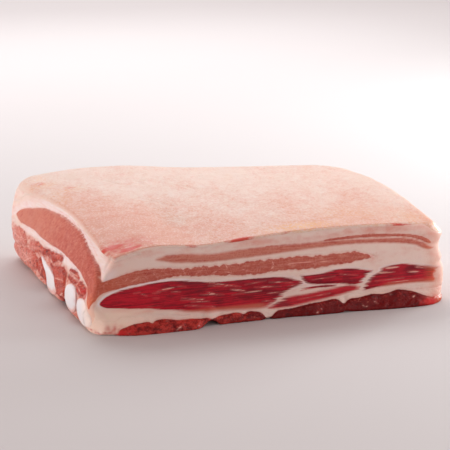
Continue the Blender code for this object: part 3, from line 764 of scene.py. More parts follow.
@dataclass
class Anatomy:
    """The tissues of the slab, as distances that can be read at any place in it."""

    form: SlabForm
    long: LongLayers = field(default_factory=LongLayers)
    rib_end: RibEnd = field(default_factory=RibEnd)
    lift: float = 1.3
    rib_depth: float = -80.0
    middle_end: float = 67.0
    upper_run: Run = Run(knots(-92, -66, -84, -65, -70, -50, -55, -24, 92, -18), -66, 104)
    long_run: Run = Run(knots(-92, -96.6, -84, -96.6, -72, -66, -50, -60, 92, -60), -97, 22, -13)
    under_run: Run = Run(knots(-92, -89, -84, -88.4, -68, -62, -50, -58, 92, -58), -90, -33, -13)

    def wander(self, x: Array, y: Array) -> Array:
        """The layers' slow rise and fall behind the front cut, which fades out at the rib end."""
        share = np.clip((y - self.form.front_y) / self.form.depth, 0, 1.1)
        return self.lift * np.sin(1.5 * math.pi * share) * ramp(x, -90, -30)

    def along(self, x: Array, y: Array, run: Run) -> Array:
        """Where on the long cut's outlines a place behind it belongs.

        Args:
            x: places along the slab.
            y: places from front to back.
            run: how the layer runs back.

        Returns:
            x on the long cut.
        """
        shift = run.drift * self.form.depth_share(y)
        left = curve(run.left_end, y)
        stretched = run.first + (x - left) / (run.tip + shift - left) * (run.tip - run.first)
        return np.where(x < run.tip + shift, stretched, x - shift)

    def middle_edges(self, x: Array, y: Array) -> tuple[Array, Array]:
        """Heights of the middle layer's edges, which part to a broad muscle at the rib end.

        Args:
            x: places along the slab.
            y: places from front to back.

        Returns:
            The lower edge's heights and the upper edge's.
        """
        fade, ends = 1 - ramp(x, -98, -25), self.rib_end
        lower = curve(self.long.middle_lower, x) + (curve(ends.pink_lower, y) - ends.pink_lower[0][1]) * fade
        upper = curve(self.long.middle_upper, x) + (curve(ends.pink_upper, y) - ends.pink_upper[0][1]) * fade
        return lower, upper

    def reds(self, at: Array, up: Array) -> Array:
        """Distance into the deep red muscles, at places on the long cut."""
        return np.max([depth_inside(softened(outline), at, up) for outline in self.long.reds], axis=0)

    def torn(self, points: Array) -> Array:
        """Distance into the rib muscles: the outlines of the rib end, torn by noise.

        Args:
            points: places in the slab, (n, 3).

        Returns:
            The distances.
        """
        x, y, z = points.T
        torn_y = y + 2.2 * rough_noise(points, (9, 7, 5), 61, 4)
        torn_z = z + 1.4 * rough_noise(points, (9, 7, 5), 62, 4)
        inside = [depth_inside(softened(outline), torn_y, torn_z) for outline in self.rib_end.muscles]
        return np.minimum(np.maximum(np.max(inside, axis=0), OUTSIDE), self.rib_depth - x)

    def veins(self, at: Places) -> Array:
        """Distance into the marbling and seams of the nearest layer.

        Args:
            at: the places.

        Returns:
            The distances.
        """
        pink = at.nearest(Layer.MIDDLE) | at.nearest(Layer.UPPER)
        sets = (
            (self.long.streaks, at.at_red, at.up, 0.0, at.nearest(Layer.RED)),
            (self.long.pale_veins, at.x, at.up, 0.13, pink & (at.x > -95)),
            (self.long.pale_bits, at.x, at.z, -0.14, at.nearest(Layer.UNDER) & (at.y < -70)),
            (self.rib_end.seams, at.y, at.z, 0.22, at.nearest(Layer.RIB) | (at.x < -93) & (at.z < 27)),
        )
        vein = np.full(len(at.x), OUTSIDE)
        for streaks, across, up, wider, where in sets:
            for streak in streaks:
                vein = np.where(where, np.maximum(vein, streak.depth(across, up) + wider), vein)
        return vein

    def pale_feet(self, at: Places) -> tuple[Array, Array, Array]:
        """Where the red muscles pale towards their lower edges.

        Args:
            at: the places.

        Returns:
            Shares for the long muscle, the muscle at the right end and the thin sloping one.
        """
        long = ramp(at.at_red, -64, -44) * ramp(at.at_red, 12, -4) * ramp(at.up, 12.6, 8.4)
        right = ramp(at.at_red, 62, 78) * ramp(at.up, 18.5, 12.8)
        below = ramp(0.75 * at.at_red + 3.5 - at.up, 0, 1.2)
        return long, right, below * ramp(at.up, 15.4, 14.4) * ramp(at.at_red, 61, 58.5)

    def shade(self, at: Places) -> Array:
        """How much darker each layer is in places, or paler where it is below zero.

        Args:
            at: the places.

        Returns:
            The shade of the nearest layer.
        """
        long, right, sloping = self.pale_feet(at)
        upper = (1.5 * ramp(at.over_gap, -2.6, 2.2) - 0.75) * ramp(at.at_upper, 62, 30)
        rim = ramp(at.into_red, 2.0, 0.2) * ramp(at.up, 15, 21) * ramp(at.at_red, -97, -60)
        red = 0.35 * (1 - ramp(at.at_red, -40, -62)) + 0.35 * rim
        return np.choose(at.layer, [
            at.on_wall * (0.35 * ramp(at.y, -45, -78) - ramp(at.y, -25, 50)),
            upper - 0.25 * ramp(at.at_upper, 30, 62),
            red - np.max([long, right, 0.6 * sloping], axis=0),
            ramp(at.at_under, -30, 20),
            0.25 - ramp(at.y, 10, 50),
        ])

    def silver(self, at: Places) -> Array:
        """Sheen of membrane: over the long red muscle, and beside the pink muscle of the rib end.

        Args:
            at: the places.

        Returns:
            Its share.
        """
        above = ramp(at.up, 14.5, 17.5) * ramp(at.up - curve(self.long.middle_lower, at.x), 1.2, -0.2)
        over_red = np.exp(-(((at.into_red + 0.75) / 0.55) ** 2)) * above
        over_red = np.where(at.x < -100, 0.0, over_red * (1 - 0.55 * ramp(at.at_red, -50, -30)))
        beside = ramp(at.over_ledge, 0.0, 0.5) * ramp(at.over_ledge, 7.5, 2.0)
        below = ramp(at.z, 24.5, 28) * ramp(at.over_ledge, -9, -12)
        return np.maximum(over_red, 0.65 * at.on_wall * np.maximum(beside, below))

    def softness(self, at: Places) -> Array:
        """Half the width of the lean's edge: crisp, but soft where the red muscles pale or end.

        Args:
            at: the places.

        Returns:
            The half widths in millimetres.
        """
        long, right, sloping = self.pale_feet(at)
        red = at.nearest(Layer.RED)
        soft = np.where(at.nearest(Layer.UPPER) & (at.over_gap < 0), 0.75, 0.25)
        soft = np.where(red & (long > 0.3), 1.1, soft)
        soft = np.where(red & (np.maximum(right, sloping) > 0.5), 0.75, soft)
        return np.where(red & (at.x > 99) & (at.y < -70), 1.0, soft)

    def fat_lines(self, at: Places) -> Array:
        """Distance into two thin lines in the fat cap at the rib end: half-way up, and at the rind.

        Args:
            at: the places.

        Returns:
            The distances.
        """
        fade = 0.5 * ramp(at.y, 8, 24) + 0.6 * ramp(at.y, -66, -76)
        in_cap = 0.10 - abs(at.z - curve(self.rib_end.cap_line, at.y)) - fade
        at_rind = -0.05 - abs(self.form.top(at.x, at.y) - at.z - 3.1)
        return np.where(at.x < -80, np.maximum(in_cap, at_rind), OUTSIDE)

    def painted_glow_at(self, at: Places) -> Array:
        """Painted light: the glow of backlit thin flesh, at the pink muscle's tip and corner, and at the
        slab's right front corner.

        Args:
            at: the places.

        Returns:
            Its share.
        """
        tip = at.on_wall * ramp(at.z, 27, 17) * ramp(at.y, -62, -78)
        corner = 0.3 * ramp(at.x, -66, -90) * ramp(at.y, -70, -82)
        right = ramp(at.x, 96, 108) * ramp(at.y, -58, -78)
        return np.maximum(np.maximum(tip, corner) * at.nearest(Layer.MIDDLE), right)

    def read(self, points: Array) -> Reading:
        """Reads every tissue at the given places.

        Each layer of lean is a distance to its outline, and the greatest of them is the nearest layer's. The
        upper lean and the reds fray at the slab's right front corner, and seams part the under muscles at
        the foot.

        Args:
            points: places in the slab's own millimetres, (n, 3).

        Returns:
            The reading.
        """
        x, y, z = points.T
        up = z - self.wander(x, y)
        lower_edge, upper_edge = self.middle_edges(x, y)
        middle = np.min([upper_edge - up, up - lower_edge, self.middle_end - x], axis=0)

        ragged = rough_noise(points, (5, 5, 1.6), 63)
        frayed = 1.8 * ramp(x, 99, 110) * ramp(y, -62, -80) * (1 + 0.8 * ragged)
        at_upper = self.along(x, y, self.upper_run)
        over_gap = up - curve(self.long.upper_gap, at_upper)
        upper = depth_inside(softened(self.long.upper_lean), at_upper, up)
        upper = np.minimum(upper, abs(over_gap) - 0.42 * ramp(at_upper, 34, 60)) - frayed

        at_red = self.along(x, y, self.long_run)
        slope = (self.reds(at_red + 1.5, up) - self.reds(at_red - 1.5, up)) / 3.0
        into_red = np.minimum(self.reds(at_red, up), x - curve(self.long_run.left_end, y) + 1)
        red_end = 108.0 - 2.5 * ramp(z, 22, 17) + 3.2 * ragged - x + 40 * ramp(y, -80, -62)

        at_under = self.along(x, y, self.under_run)
        rib = self.torn(points)
        apart = np.min([abs(at_under - seam) for seam in self.long.under_seams], axis=0)
        under = np.min([curve(self.long.under_top, at_under) - up, x - curve(self.under_run.left_end, y),
                        np.where(z < 1.2, apart - 0.8, -OUTSIDE)], axis=0)
        lean = np.stack([middle, upper, np.minimum(into_red, red_end), under, rib])
        layer = lean.argmax(axis=0)
        at = Places(x, y, z, up, at_upper, at_red, at_under, up - upper_edge, over_gap, into_red, layer)
        middle_frill = 0.35 + 0.75 * ramp(x, -84, -58)
        return Reading(
            lean=lean.max(axis=0),
            soft=self.softness(at),
            slope=np.where(at.nearest(Layer.RED) & (at_red > -88), slope, 0.0),
            vein=self.veins(at),
            shade=self.shade(at),
            silver=self.silver(at),
            warm=self.painted_glow_at(at),
            muscle=rib,
            ledge=at.over_ledge,
            line=self.fat_lines(at),
            red=layer >= Layer.RED,
            dark=at.nearest(Layer.UNDER),
            rib=at.nearest(Layer.RIB),
            frill=np.choose(layer, [middle_frill, 0.3, 0.45, 0.6, 1.0]),
        )


# --- Finishes
Socket = bpy.types.NodeSocket
Node = bpy.types.Node
Value = float | Floats | Socket
Sockets = SimpleNamespace


class Sketch:
    """Lays out a shader's nodes, with one short method for each kind of step."""

    def __init__(self, tree: bpy.types.NodeTree) -> None:
        """Keeps the node tree that is filled."""
        self.tree = tree

    def node(self, kind: str, inputs: dict[int | str, Value] | None = None, **settings: object) -> Node:
        """Adds a node.

        Args:
            kind: the node's type.
            inputs: what is fed to its inputs, by number or name.
            settings: its settings by name.

        Returns:
            The node.
        """
        made = self.tree.nodes.new(kind)
        for name, value in settings.items():
            setattr(made, name, value)
        for place, value in (inputs or {}).items():
            self.feed(made.inputs[place], value)
        return made

    def feed(self, socket: Socket, value: Value) -> None:
        """Links a socket to a socket, or sets it to a number or colour.

        Args:
            socket: the input.
            value: a socket, a number, or a list that is filled up with ones.
        """
        if isinstance(value, bpy.types.NodeSocket):
            self.tree.links.new(value, socket)
        elif isinstance(socket.default_value, float):
            socket.default_value = float(value)
        elif isinstance(value, (int, float)):
            socket.default_value = [float(value)] * len(socket.default_value)
        else:
            socket.default_value = list(value) + [1.0] * (len(socket.default_value) - len(value))

    def sum(self, kind: str, a: Value, b: Value = 0.0, c: Value = 0.0) -> Socket:
        """A Math node of an operation, on up to three values."""
        return self.node("ShaderNodeMath", {0: a, 1: b, 2: c}, operation=kind).outputs[0]

    def times(self, a: Value, b: Value, plus: Value = 0.0) -> Socket:
        """Two values multiplied, and a third added."""
        return self.sum("MULTIPLY_ADD", a, b, plus)

    def add(self, a: Value, b: Value) -> Socket:
        """Two values added."""
        return self.sum("ADD", a, b)

    def most(self, a: Value, b: Value) -> Socket:
        """The greater of two values."""
        return self.sum("MAXIMUM", a, b)

    def swing(self, noise: Socket, size: Value, plus: Value = 0.0) -> Socket:
        """A noise of 0 to 1 about its middle, times a size, and a value added."""
        return self.times(self.sum("SUBTRACT", noise, 0.5), size, plus)

    def between(self, value: Value, low: Value, high: Value, start: Value = 0.0, end: Value = 1.0) -> Socket:
        """Smoothly carries low..high to start..end, clamped."""
        inputs = dict(enumerate((value, low, high, start, end)))
        return self.node("ShaderNodeMapRange", inputs, interpolation_type="SMOOTHSTEP").outputs[0]

    def mix(self, share: Value, a: Value, b: Value) -> Socket:
        """Blends two colours."""
        return self.node("ShaderNodeMix", {0: share, 6: a, 7: b}, data_type="RGBA").outputs[2]

    def mix_value(self, share: Value, a: Value, b: Value) -> Socket:
        """Blends two numbers."""
        return self.node("ShaderNodeMix", {0: share, 2: a, 3: b}, data_type="FLOAT").outputs[0]

    def stored(self, name: str) -> Socket:
        """A value stored with the mesh."""
        return self.node("ShaderNodeAttribute", attribute_name=name).outputs["Fac"]

    def spot(self, size: Floats, turn: Floats = (0, 0, 0)) -> Socket:
        """Object coordinates in cells: turned, then divided by the cells' size.

        Args:
            size: size of a cell on each axis, in millimetres.
            turn: degrees about each axis.

        Returns:
            The coordinates.
        """
        inputs = {
            "Vector": self.node("ShaderNodeTexCoord").outputs["Object"],
            "Rotation": [math.radians(angle) for angle in turn],
        }
        turned = self.node("ShaderNodeMapping", inputs, vector_type="POINT").outputs[0]
        cells = [1.0 / (MM * length) for length in size]
        return self.node("ShaderNodeVectorMath", {0: turned, 1: cells}, operation="MULTIPLY").outputs[0]

    def noise(self, vector: Socket, detail: float = 2.0, rough: float = 0.5, seed: float = 0.0) -> Socket:
        """Noise of about 0 to 1 with cells of one unit of the vector."""
        inputs = {"Vector": vector, "W": seed, "Scale": 1.0, "Detail": detail, "Roughness": rough}
        return self.node("ShaderNodeTexNoise", inputs, noise_dimensions="4D").outputs[0]

    def cells(self, vector: Socket, feature: str = "F1") -> Socket:
        """Distance from the nearest of scattered points, or to the nearest edge between them."""
        inputs = {"Vector": vector, "Scale": 1.0}
        return self.node("ShaderNodeTexVoronoi", inputs, feature=feature).outputs["Distance"]


def moist_grain_group() -> bpy.types.ShaderNodeTree:
    """A shared group: fine grain of moist tissue, as a colour shift, a height and a roughness.

    Returns:
        The group, made once.
    """
    name = "moist_grain"
    if name in bpy.data.node_groups:
        return bpy.data.node_groups[name]
    tree = bpy.data.node_groups.new(name, "ShaderNodeTree")
    for label, default in (("Grain Size", 1.0), ("Roughness Low", 0.3), ("Roughness High", 0.6)):
        socket = tree.interface.new_socket(label, in_out="INPUT", socket_type="NodeSocketFloat")
        socket.default_value = default
    for label in ("Grain", "Height", "Roughness"):
        tree.interface.new_socket(label, in_out="OUTPUT", socket_type="NodeSocketFloat")
    s = Sketch(tree)
    inside, outside = s.node("NodeGroupInput"), s.node("NodeGroupOutput")
    finer = s.sum("DIVIDE", 1.0, inside.outputs["Grain Size"])
    inputs = {0: s.spot((1, 1, 1)), "Scale": finer}
    place = s.node("ShaderNodeVectorMath", inputs, operation="SCALE").outputs[0]
    grain = s.noise(place, detail=3.0, rough=0.6)
    pores = s.between(s.cells(place), 0.12, 0.42, 1.0, 0.0)
    patch = s.noise(s.spot((7, 7, 7)), seed=3.0)
    wet = s.between(s.times(patch, 0.7, s.times(grain, 0.3)), 0.35, 0.65,
                    inside.outputs["Roughness Low"], inside.outputs["Roughness High"])
    s.feed(outside.inputs["Grain"], grain)
    s.feed(outside.inputs["Height"], s.times(pores, -0.35, grain))
    s.feed(outside.inputs["Roughness"], wet)
    return tree


def moist_grain(sketch: Sketch, size: float, low: float, high: float) -> Node:
    """Places the moist grain group in a material.

    Args:
        sketch: the material's nodes.
        size: size of the grain in millimetres.
        low: roughness where it is wettest.
        high: roughness where it is driest.

    Returns:
        The group's node.
    """
    made = sketch.node("ShaderNodeGroup", node_tree=moist_grain_group())
    for socket, value in zip(made.inputs, (size, low, high)):
        socket.default_value = value
    return made


def start_material(name: str) -> tuple[bpy.types.Material, Sketch, Node]:
    """An empty node material with its Principled shader.

    Args:
        name: the material's name.

    Returns:
        The material, a sketch of its nodes, and the shader.
    """
    material = bpy.data.materials.new(name)
    material.use_nodes = True
    return material, Sketch(material.node_tree), material.node_tree.nodes["Principled BSDF"]


def add_bump(sketch: Sketch, shader: Node, height: Socket, deep_mm: float, strength: float) -> None:
    """Feeds a height to the shader's normal, as relief of a depth in millimetres."""
    inputs = {"Strength": strength, "Distance": deep_mm * MM, "Height": height}
    sketch.feed(shader.inputs["Normal"], sketch.node("ShaderNodeBump", inputs).outputs[0])


def let_light_in(shader: Node, weight: float, radius: Colour, scale_mm: float) -> None:
    """Lets light spread under the surface: how much of it, how far each colour goes, and a scale."""
    for name, value in (("Weight", weight), ("Radius", radius), ("Scale", scale_mm * MM)):
        shader.inputs["Subsurface " + name].default_value = value


@dataclass(frozen=True)
class Fibre:
    """A noise of the tissue: its cells in millimetres, how they are turned in degrees, and its detail."""

    size: Floats
    turn: Floats = (0, 0, 0)
    detail: float = 2.0
    rough: float = 0.5
    seed: float = 0.0


FIBRES = {
    "lumps": Fibre((3.4, 3.4, 2.2), (0, 12, 0), 3.0, 0.65, 33.0),
    "comb": Fibre((16.0, 7.0, 0.62), detail=3.0, rough=0.6, seed=21.0),
    "crinkle": Fibre((2.6, 2.8, 2.2), detail=3.0, rough=0.6),
    "fine": Fibre((0.9, 0.9, 0.7), seed=5.0),
    "along": Fibre((9.0, 2.6, 0.75), detail=3.0, rough=0.62, seed=2.0),
    "slanted": Fibre((3.0, 4.6, 0.62), (42, 0, 0), 3.0, 0.6, 4.0),
    "thread": Fibre((4.5, 1.3, 0.32), seed=9.0),
    "patches": Fibre((13.0, 10.0, 5.0), seed=7.0),
    "clouds": Fibre((5.0, 5.0, 4.0), detail=3.0, rough=0.6, seed=11.0),
    "fleck": Fibre((2.4, 2.0, 0.8), (0, 22, 0), 2.0, 0.6, 15.0),
    "dash": Fibre((2.0, 1.7, 0.36), (46, 0, 0), 2.0, 0.55, 17.0),
    "strand": Fibre((3.0, 3.4, 0.5), (36, 0, 0), 3.0, 0.6, 19.0),
    "cleft": Fibre((6.0, 5.0, 1.7), (28, 0, 0), 3.0, 0.6, 23.0),
    "marble": Fibre((13.0, 3.0, 0.75), detail=3.0, rough=0.55, seed=12.0),
}
FLESH_VALUES = ("lean", "soft", "frill", "slope", "red", "dark", "rib", "vein", "shade", "silver", "warm",
                "line", "hollow", "cream", "wall", "feather", "flush", "blood")


@dataclass(frozen=True)
class FleshFinish:
    """Fat and lean on a cut: the colours of each tissue, and the painted light and shade laid over them."""

    fat: Colour = (0.82, 0.63, 0.56)
    fat_flushed: Colour = (0.72, 0.33, 0.27)
    membrane: Colour = (0.86, 0.75, 0.77)
    pink: Colour = (0.50, 0.110, 0.078)
    pink_deep: Colour = (0.36, 0.042, 0.032)
    pink_pale: Colour = (0.60, 0.215, 0.155)
    crimson: Colour = (0.54, 0.011, 0.028)
    crimson_deep: Colour = (0.20, 0.006, 0.016)
    crimson_pale: Colour = (0.56, 0.17, 0.10)
    rib_red: Colour = (0.56, 0.088, 0.052)
    rib_deep: Colour = (0.34, 0.026, 0.019)
    rib_pale: Colour = (0.64, 0.24, 0.20)
    rib_strand: Colour = (0.82, 0.50, 0.43)
    # Painted shade: the dark of the clefts and gaps between torn rib muscle fibres.
    rib_cleft_shade: Colour = (0.13, 0.007, 0.008)
    rib_gap_shade: Colour = (0.20, 0.010, 0.010)
    brown: Colour = (0.16, 0.003, 0.004)
    brown_pale: Colour = (0.53, 0.046, 0.036)
    # Painted shade in the dips between lumps, and a painted highlight on the lumps' tops.
    brown_dip_shade: Colour = (0.08, 0.005, 0.007)
    brown_lump_highlight: Colour = (0.60, 0.17, 0.12)
    marbling: Colour = (0.80, 0.42, 0.35)
    # Painted light: the orange glow of backlit thin flesh.
    painted_glow_colour: Colour = (0.82, 0.21, 0.085)
    cream: Colour = (0.96, 0.72, 0.595)
    blood: Colour = (0.60, 0.028, 0.028)
    # Painted shade: the dark of the hollows in the cut.
    hollow_shade: Colour = (0.10, 0.006, 0.006)

    def sockets(self, s: Sketch) -> Sockets:
        """The values stored with the mesh and the noises that the tissues share.

        Args:
            s: the material's nodes.

        Returns:
            Sockets by name. not_red is 1 less the redness, meaty the under and rib muscles, and wet the
            patches that shine.
        """
        n = Sockets(**{name: s.stored(name) for name in FLESH_VALUES})
        for name, fibre in FIBRES.items():
            place = s.spot(fibre.size, fibre.turn)
            setattr(n, name, s.noise(place, fibre.detail, fibre.rough, fibre.seed))
        n.scallop = s.cells(s.spot((2.9, 3.4, 3.4)))
        n.bundles = s.cells(s.spot((3.0, 5.0, 5.0), (0, -28, 0)), "DISTANCE_TO_EDGE")
        grain = moist_grain(s, 0.75, 0.30, 0.55)
        n.speck, n.height, n.rough = (grain.outputs[name] for name in ("Grain", "Height", "Roughness"))
        n.not_red = s.sum("SUBTRACT", 1.0, n.red)
        n.meaty = s.most(n.dark, n.rib)
        n.wet = s.times(n.speck, 0.7, n.clouds)
        return n

    def edge(self, s: Sketch, n: Sockets) -> tuple[Socket, Socket]:
        """Where lean ends: the stored distance and small noises, so that it frills, lobes and feathers.

        Args:
            s: the material's nodes.
            n: the shared sockets.

        Returns:
            The distance into lean, and the share of lean.
        """
        wobble = s.swing(n.fine, 0.45, s.swing(n.crinkle, 1.1))
        lobes = s.times(s.sum("SUBTRACT", 0.42, n.scallop), s.times(n.not_red, 1.5))
        feather = s.swing(n.slanted, s.times(n.feather, 5.5))
        edge = s.times(s.add(wobble, lobes), n.frill, n.lean)
        edge = s.times(feather, n.not_red, edge)
        edge = s.times(s.swing(n.comb, 15.0), n.slope, edge)
        soft = s.times(s.sum("ABSOLUTE", n.slope), 1.5, n.soft)
        return edge, s.between(edge, s.times(soft, -1.0), soft)

    def pink_meat(self, s: Sketch, n: Sockets) -> Socket:
        """The colour of pink lean: fibres along the slab, or on the slant at the rib end.

        Args:
            s: the material's nodes.
            n: the shared sockets.

        Returns:
            The colour.
        """
        tone = s.times(n.shade, 0.40, 0.42)
        tone = s.swing(s.mix_value(n.wall, n.along, n.slanted), 1.5, tone)
        tone = s.swing(n.clouds, 0.8, s.swing(n.speck, 1.1, tone))
        tone = s.times(s.swing(n.dash, n.wall), 1.6, tone)
        pale = s.mix(s.between(tone, 0.0, 0.55), self.pink_pale, self.pink)
        return s.mix(s.between(tone, 0.45, 1.05), pale, self.pink_deep)

    def red_meat(self, s: Sketch, n: Sockets) -> tuple[Socket, Socket]:
        """The colours of the deep red muscles, and of the torn rib muscles with their pale strands and with
        painted shade in their clefts and gaps.

        Args:
            s: the material's nodes.
            n: the shared sockets.

        Returns:
            The deep red colour, and the rib muscles' colour.
        """
        shade, deep = n.shade, 0.36
        for name, size in (("along", 1.9), ("comb", 2.6), ("patches", 1.7), ("speck", 0.7)):
            deep = s.swing(getattr(n, name), size, deep)
        deep = s.times(shade, 0.65, deep)
        crimson = s.mix(s.between(deep, 0.0, 1.05), self.crimson, self.crimson_deep)
        crimson = s.mix(s.between(shade, -0.15, -0.95), crimson, self.crimson_pale)
        torn = s.mix(s.between(deep, 0.15, 0.85), self.rib_red, self.rib_deep)
        torn = s.mix(s.between(shade, 0.1, -0.8, 0.0, 0.55), torn, self.rib_pale)
        strands = s.times(s.between(n.strand, 0.52, 0.60), s.times(shade, -0.45, 0.42))
        torn = s.mix(strands, torn, self.rib_strand)
        # Painted shade in the clefts and gaps between torn fibres.
        torn = s.mix(s.between(n.cleft, 0.43, 0.31, 0.0, 0.9), torn, self.rib_cleft_shade)
        gap_shade = s.times(s.between(n.clouds, 0.42, 0.30), s.between(n.slanted, 0.62, 0.4, 0.0, 0.6))
        return crimson, s.mix(gap_shade, torn, self.rib_gap_shade)

    def brown_meat(self, s: Sketch, n: Sockets) -> Socket:
        """The colour of the under muscles: darker to the right, with painted shade in the dips between the
        lumps and painted highlights on their tops.

        Args:
            s: the material's nodes.
            n: the shared sockets.

        Returns:
            The colour.
        """
        tone = s.times(n.shade, -0.26, s.add(n.wet, 0.03))
        brown = s.mix(s.between(tone, 0.66, 0.98), self.brown, self.brown_pale)
        # Painted shade in the dips between the lumps, then painted highlights on their tops.
        brown = s.mix(s.between(n.lumps, 0.48, 0.33, 0.0, 0.8), brown, self.brown_dip_shade)
        lump_highlights = s.between(s.times(n.speck, 0.35, n.lumps), 0.76, 0.92, 0.0, 0.42)
        return s.mix(lump_highlights, brown, self.brown_lump_highlight)

    def veins(self, s: Sketch, n: Sockets) -> Socket:
        """Share of marbling: fine streaks, septa round bundles, flecks, and the stored streaks.

        Args:
            s: the material's nodes.
            n: the shared sockets.

        Returns:
            The share.
        """
        not_red, wall = n.not_red, n.wall
        plain_red = s.times(n.red, s.sum("SUBTRACT", 1.0, n.meaty))
        cut_pink = s.times(not_red, s.times(wall, -1.0, 1.0))
        septa = s.times(s.between(n.bundles, 0.09, 0.0, 0.0, 0.26), s.between(n.clouds, 0.44, 0.62))
        drawn = s.swing(n.comb, s.times(n.red, 1.6, 0.3), n.vein)
        drawn = s.swing(n.fleck, 0.4, drawn)
        shares = (
            s.times(s.between(n.marble, 0.66, 0.76, 0.0, 0.14), plain_red),
            s.times(septa, cut_pink),
            s.times(s.between(n.fleck, 0.66, 0.76, 0.0, 0.36), s.times(n.red, -0.7, 1.0)),
            s.times(s.between(n.dash, 0.64, 0.74, 0.0, 0.5), s.times(wall, not_red)),
            s.between(drawn, -0.8, -0.1, 0.0, 0.10),
            s.between(drawn, -0.12, 0.22, 0.0, 0.85),
        )
        return functools.reduce(s.most, shares)

    def fat_round(self, s: Sketch, n: Sockets, edge: Socket) -> Socket:
        """The colour of fat: flushed in patches and beside lean, bruised, sheened, or cream.

        Args:
            s: the material's nodes.
            n: the shared sockets.
            edge: the distance into lean.

        Returns:
            The colour.
        """
        tint = s.swing(n.clouds, 0.8, s.swing(n.patches, 1.3, 0.12))
        tint = s.add(s.swing(n.speck, 0.35, tint), n.flush)
        tint = s.most(tint, s.between(edge, -1.9, -0.2, 0.0, 0.45))
        tint = s.most(tint, s.between(n.line, -0.35, 0.1, 0.0, 0.8))
        bruised = s.times(s.times(n.flush, n.wall), s.between(n.cleft, 0.52, 0.40, 0.0, 1.2))
        bands = s.mix_value(n.wall, 1.0, s.between(n.comb, 0.38, 0.58, 0.25, 1.0))
        fat = s.mix(s.between(tint, 0.0, 1.0), self.fat, self.fat_flushed)
        fat = s.mix(bruised, fat, self.rib_red)
        fat = s.mix(s.times(n.silver, bands), fat, self.membrane)
        return s.mix(s.times(n.cream, 0.9), fat, self.cream)

    def make(self) -> bpy.types.Material:
        """Lays the lean over the fat, then painted shade along the rib muscles' edges, the painted glow of
        backlit thin flesh, the blood and the painted shade of the hollows over both.

        Returns:
            The material.
        """
        material, s, shader = start_material("flesh")
        n = self.sockets(s)
        edge, is_lean = self.edge(s, n)
        crimson, torn = self.red_meat(s, n)
        flesh = s.mix(n.red, self.pink_meat(s, n), crimson)
        flesh = s.mix(n.dark, flesh, self.brown_meat(s, n))
        flesh = s.mix(n.rib, flesh, torn)
        flesh = s.mix(self.veins(s, n), flesh, self.marbling)
        meat = s.mix(is_lean, self.fat_round(s, n, edge), flesh)
        # Painted shade: a dark band along the rib muscles' edges, where crevices would fall in shade.
        around = s.times(s.between(edge, -1.3, -0.3), s.between(edge, 0.5, -0.1))
        darker = s.times(s.times(around, n.rib), s.between(n.clouds, 0.4, 0.62, 0.0, 0.5))
        meat = s.mix(darker, meat, self.rib_deep)
        # Painted light: the orange glow of backlit thin flesh.
        meat = s.mix(s.times(n.warm, s.times(is_lean, 0.30, 0.22)), meat, self.painted_glow_colour)
        meat = s.mix(n.blood, meat, self.blood)
        # Painted shade: darkens the hollows of the cut.
        s.feed(shader.inputs["Base Color"], s.mix(n.hollow, meat, self.hollow_shade))
        s.feed(shader.inputs["Roughness"], s.times(n.dark, -0.12, n.rough))
        s.feed(shader.inputs["Coat Weight"], s.times(n.meaty, s.between(n.wet, 0.98, 1.14, 0.0, 0.8)))
        shader.inputs["Coat Roughness"].default_value = 0.13
        shader.inputs["Specular IOR Level"].default_value = 0.16
        let_light_in(shader, 0.15, (1.0, 0.35, 0.22), 2.2)
        height = s.times(n.thread, s.times(is_lean, 0.9), s.times(n.height, 0.6))
        height = s.times(n.meaty, s.times(n.lumps, 3.4), height)
        add_bump(s, shader, height, 0.35, 0.6)
        return material


@dataclass(frozen=True)
class RindFinish:
    """Pale skin with fine pores, blotches and a few blood stains, and its own cut edge."""

    pale: Colour = (0.69, 0.50, 0.425)
    pink: Colour = (0.62, 0.262, 0.180)
    light: Colour = (0.78, 0.62, 0.54)
    amber: Colour = (0.72, 0.37, 0.14)
    stain: Colour = (0.58, 0.032, 0.011)
    edge: Colour = (0.84, 0.61, 0.53)

    def make(self) -> bpy.types.Material:
        """Blends broad blotches and a fine grain of specks, then the stored rim, amber speckle and stains.

        Returns:
            The material.
        """
        material, s, shader = start_material("rind")
        broad = s.noise(s.spot((26.0, 44.0, 30.0)), seed=1.0)
        blotch = s.noise(s.spot((5.0, 10.0, 6.0), (0, 0, 20)), 3.0, 0.6, 6.0)
        speck = s.noise(s.spot((1.7, 2.2, 1.7)), 3.0, 0.75, 8.0)
        smear = s.noise(s.spot((4.0, 2.2, 2.0)), 4.0, 0.75, 14.0)
        grain = moist_grain(s, 1.15, 0.38, 0.6)
        tone = s.swing(broad, 1.2, s.stored("flush"))
        tone = s.swing(speck, 2.0, s.swing(blotch, 0.9, tone))
        skin = s.mix(s.between(tone, -0.1, 1.0), self.pale, self.pink)
        skin = s.mix(s.between(grain.outputs["Grain"], 0.50, 0.64, 0.0, 0.42), skin, self.light)
        skin = s.mix(s.stored("rim"), skin, self.edge)
        skin = s.mix(s.times(s.stored("amber"), s.between(speck, 0.42, 0.58)), skin, self.amber)
        stain = s.stored("stain")
        stained = s.between(s.swing(smear, 2.8, stain), 0.1, 1.25, 0.0, 0.95)
        skin = s.mix(s.times(stained, s.between(stain, 0.06, 0.3)), skin, self.stain)
        s.feed(shader.inputs["Base Color"], skin)
        s.feed(shader.inputs["Roughness"], grain.outputs["Roughness"])
        shader.inputs["Specular IOR Level"].default_value = 0.42
        let_light_in(shader, 0.25, (1.0, 0.4, 0.25), 3.0)
        add_bump(s, shader, s.times(speck, 0.8, grain.outputs["Height"]), 0.3, 0.5)
        return material


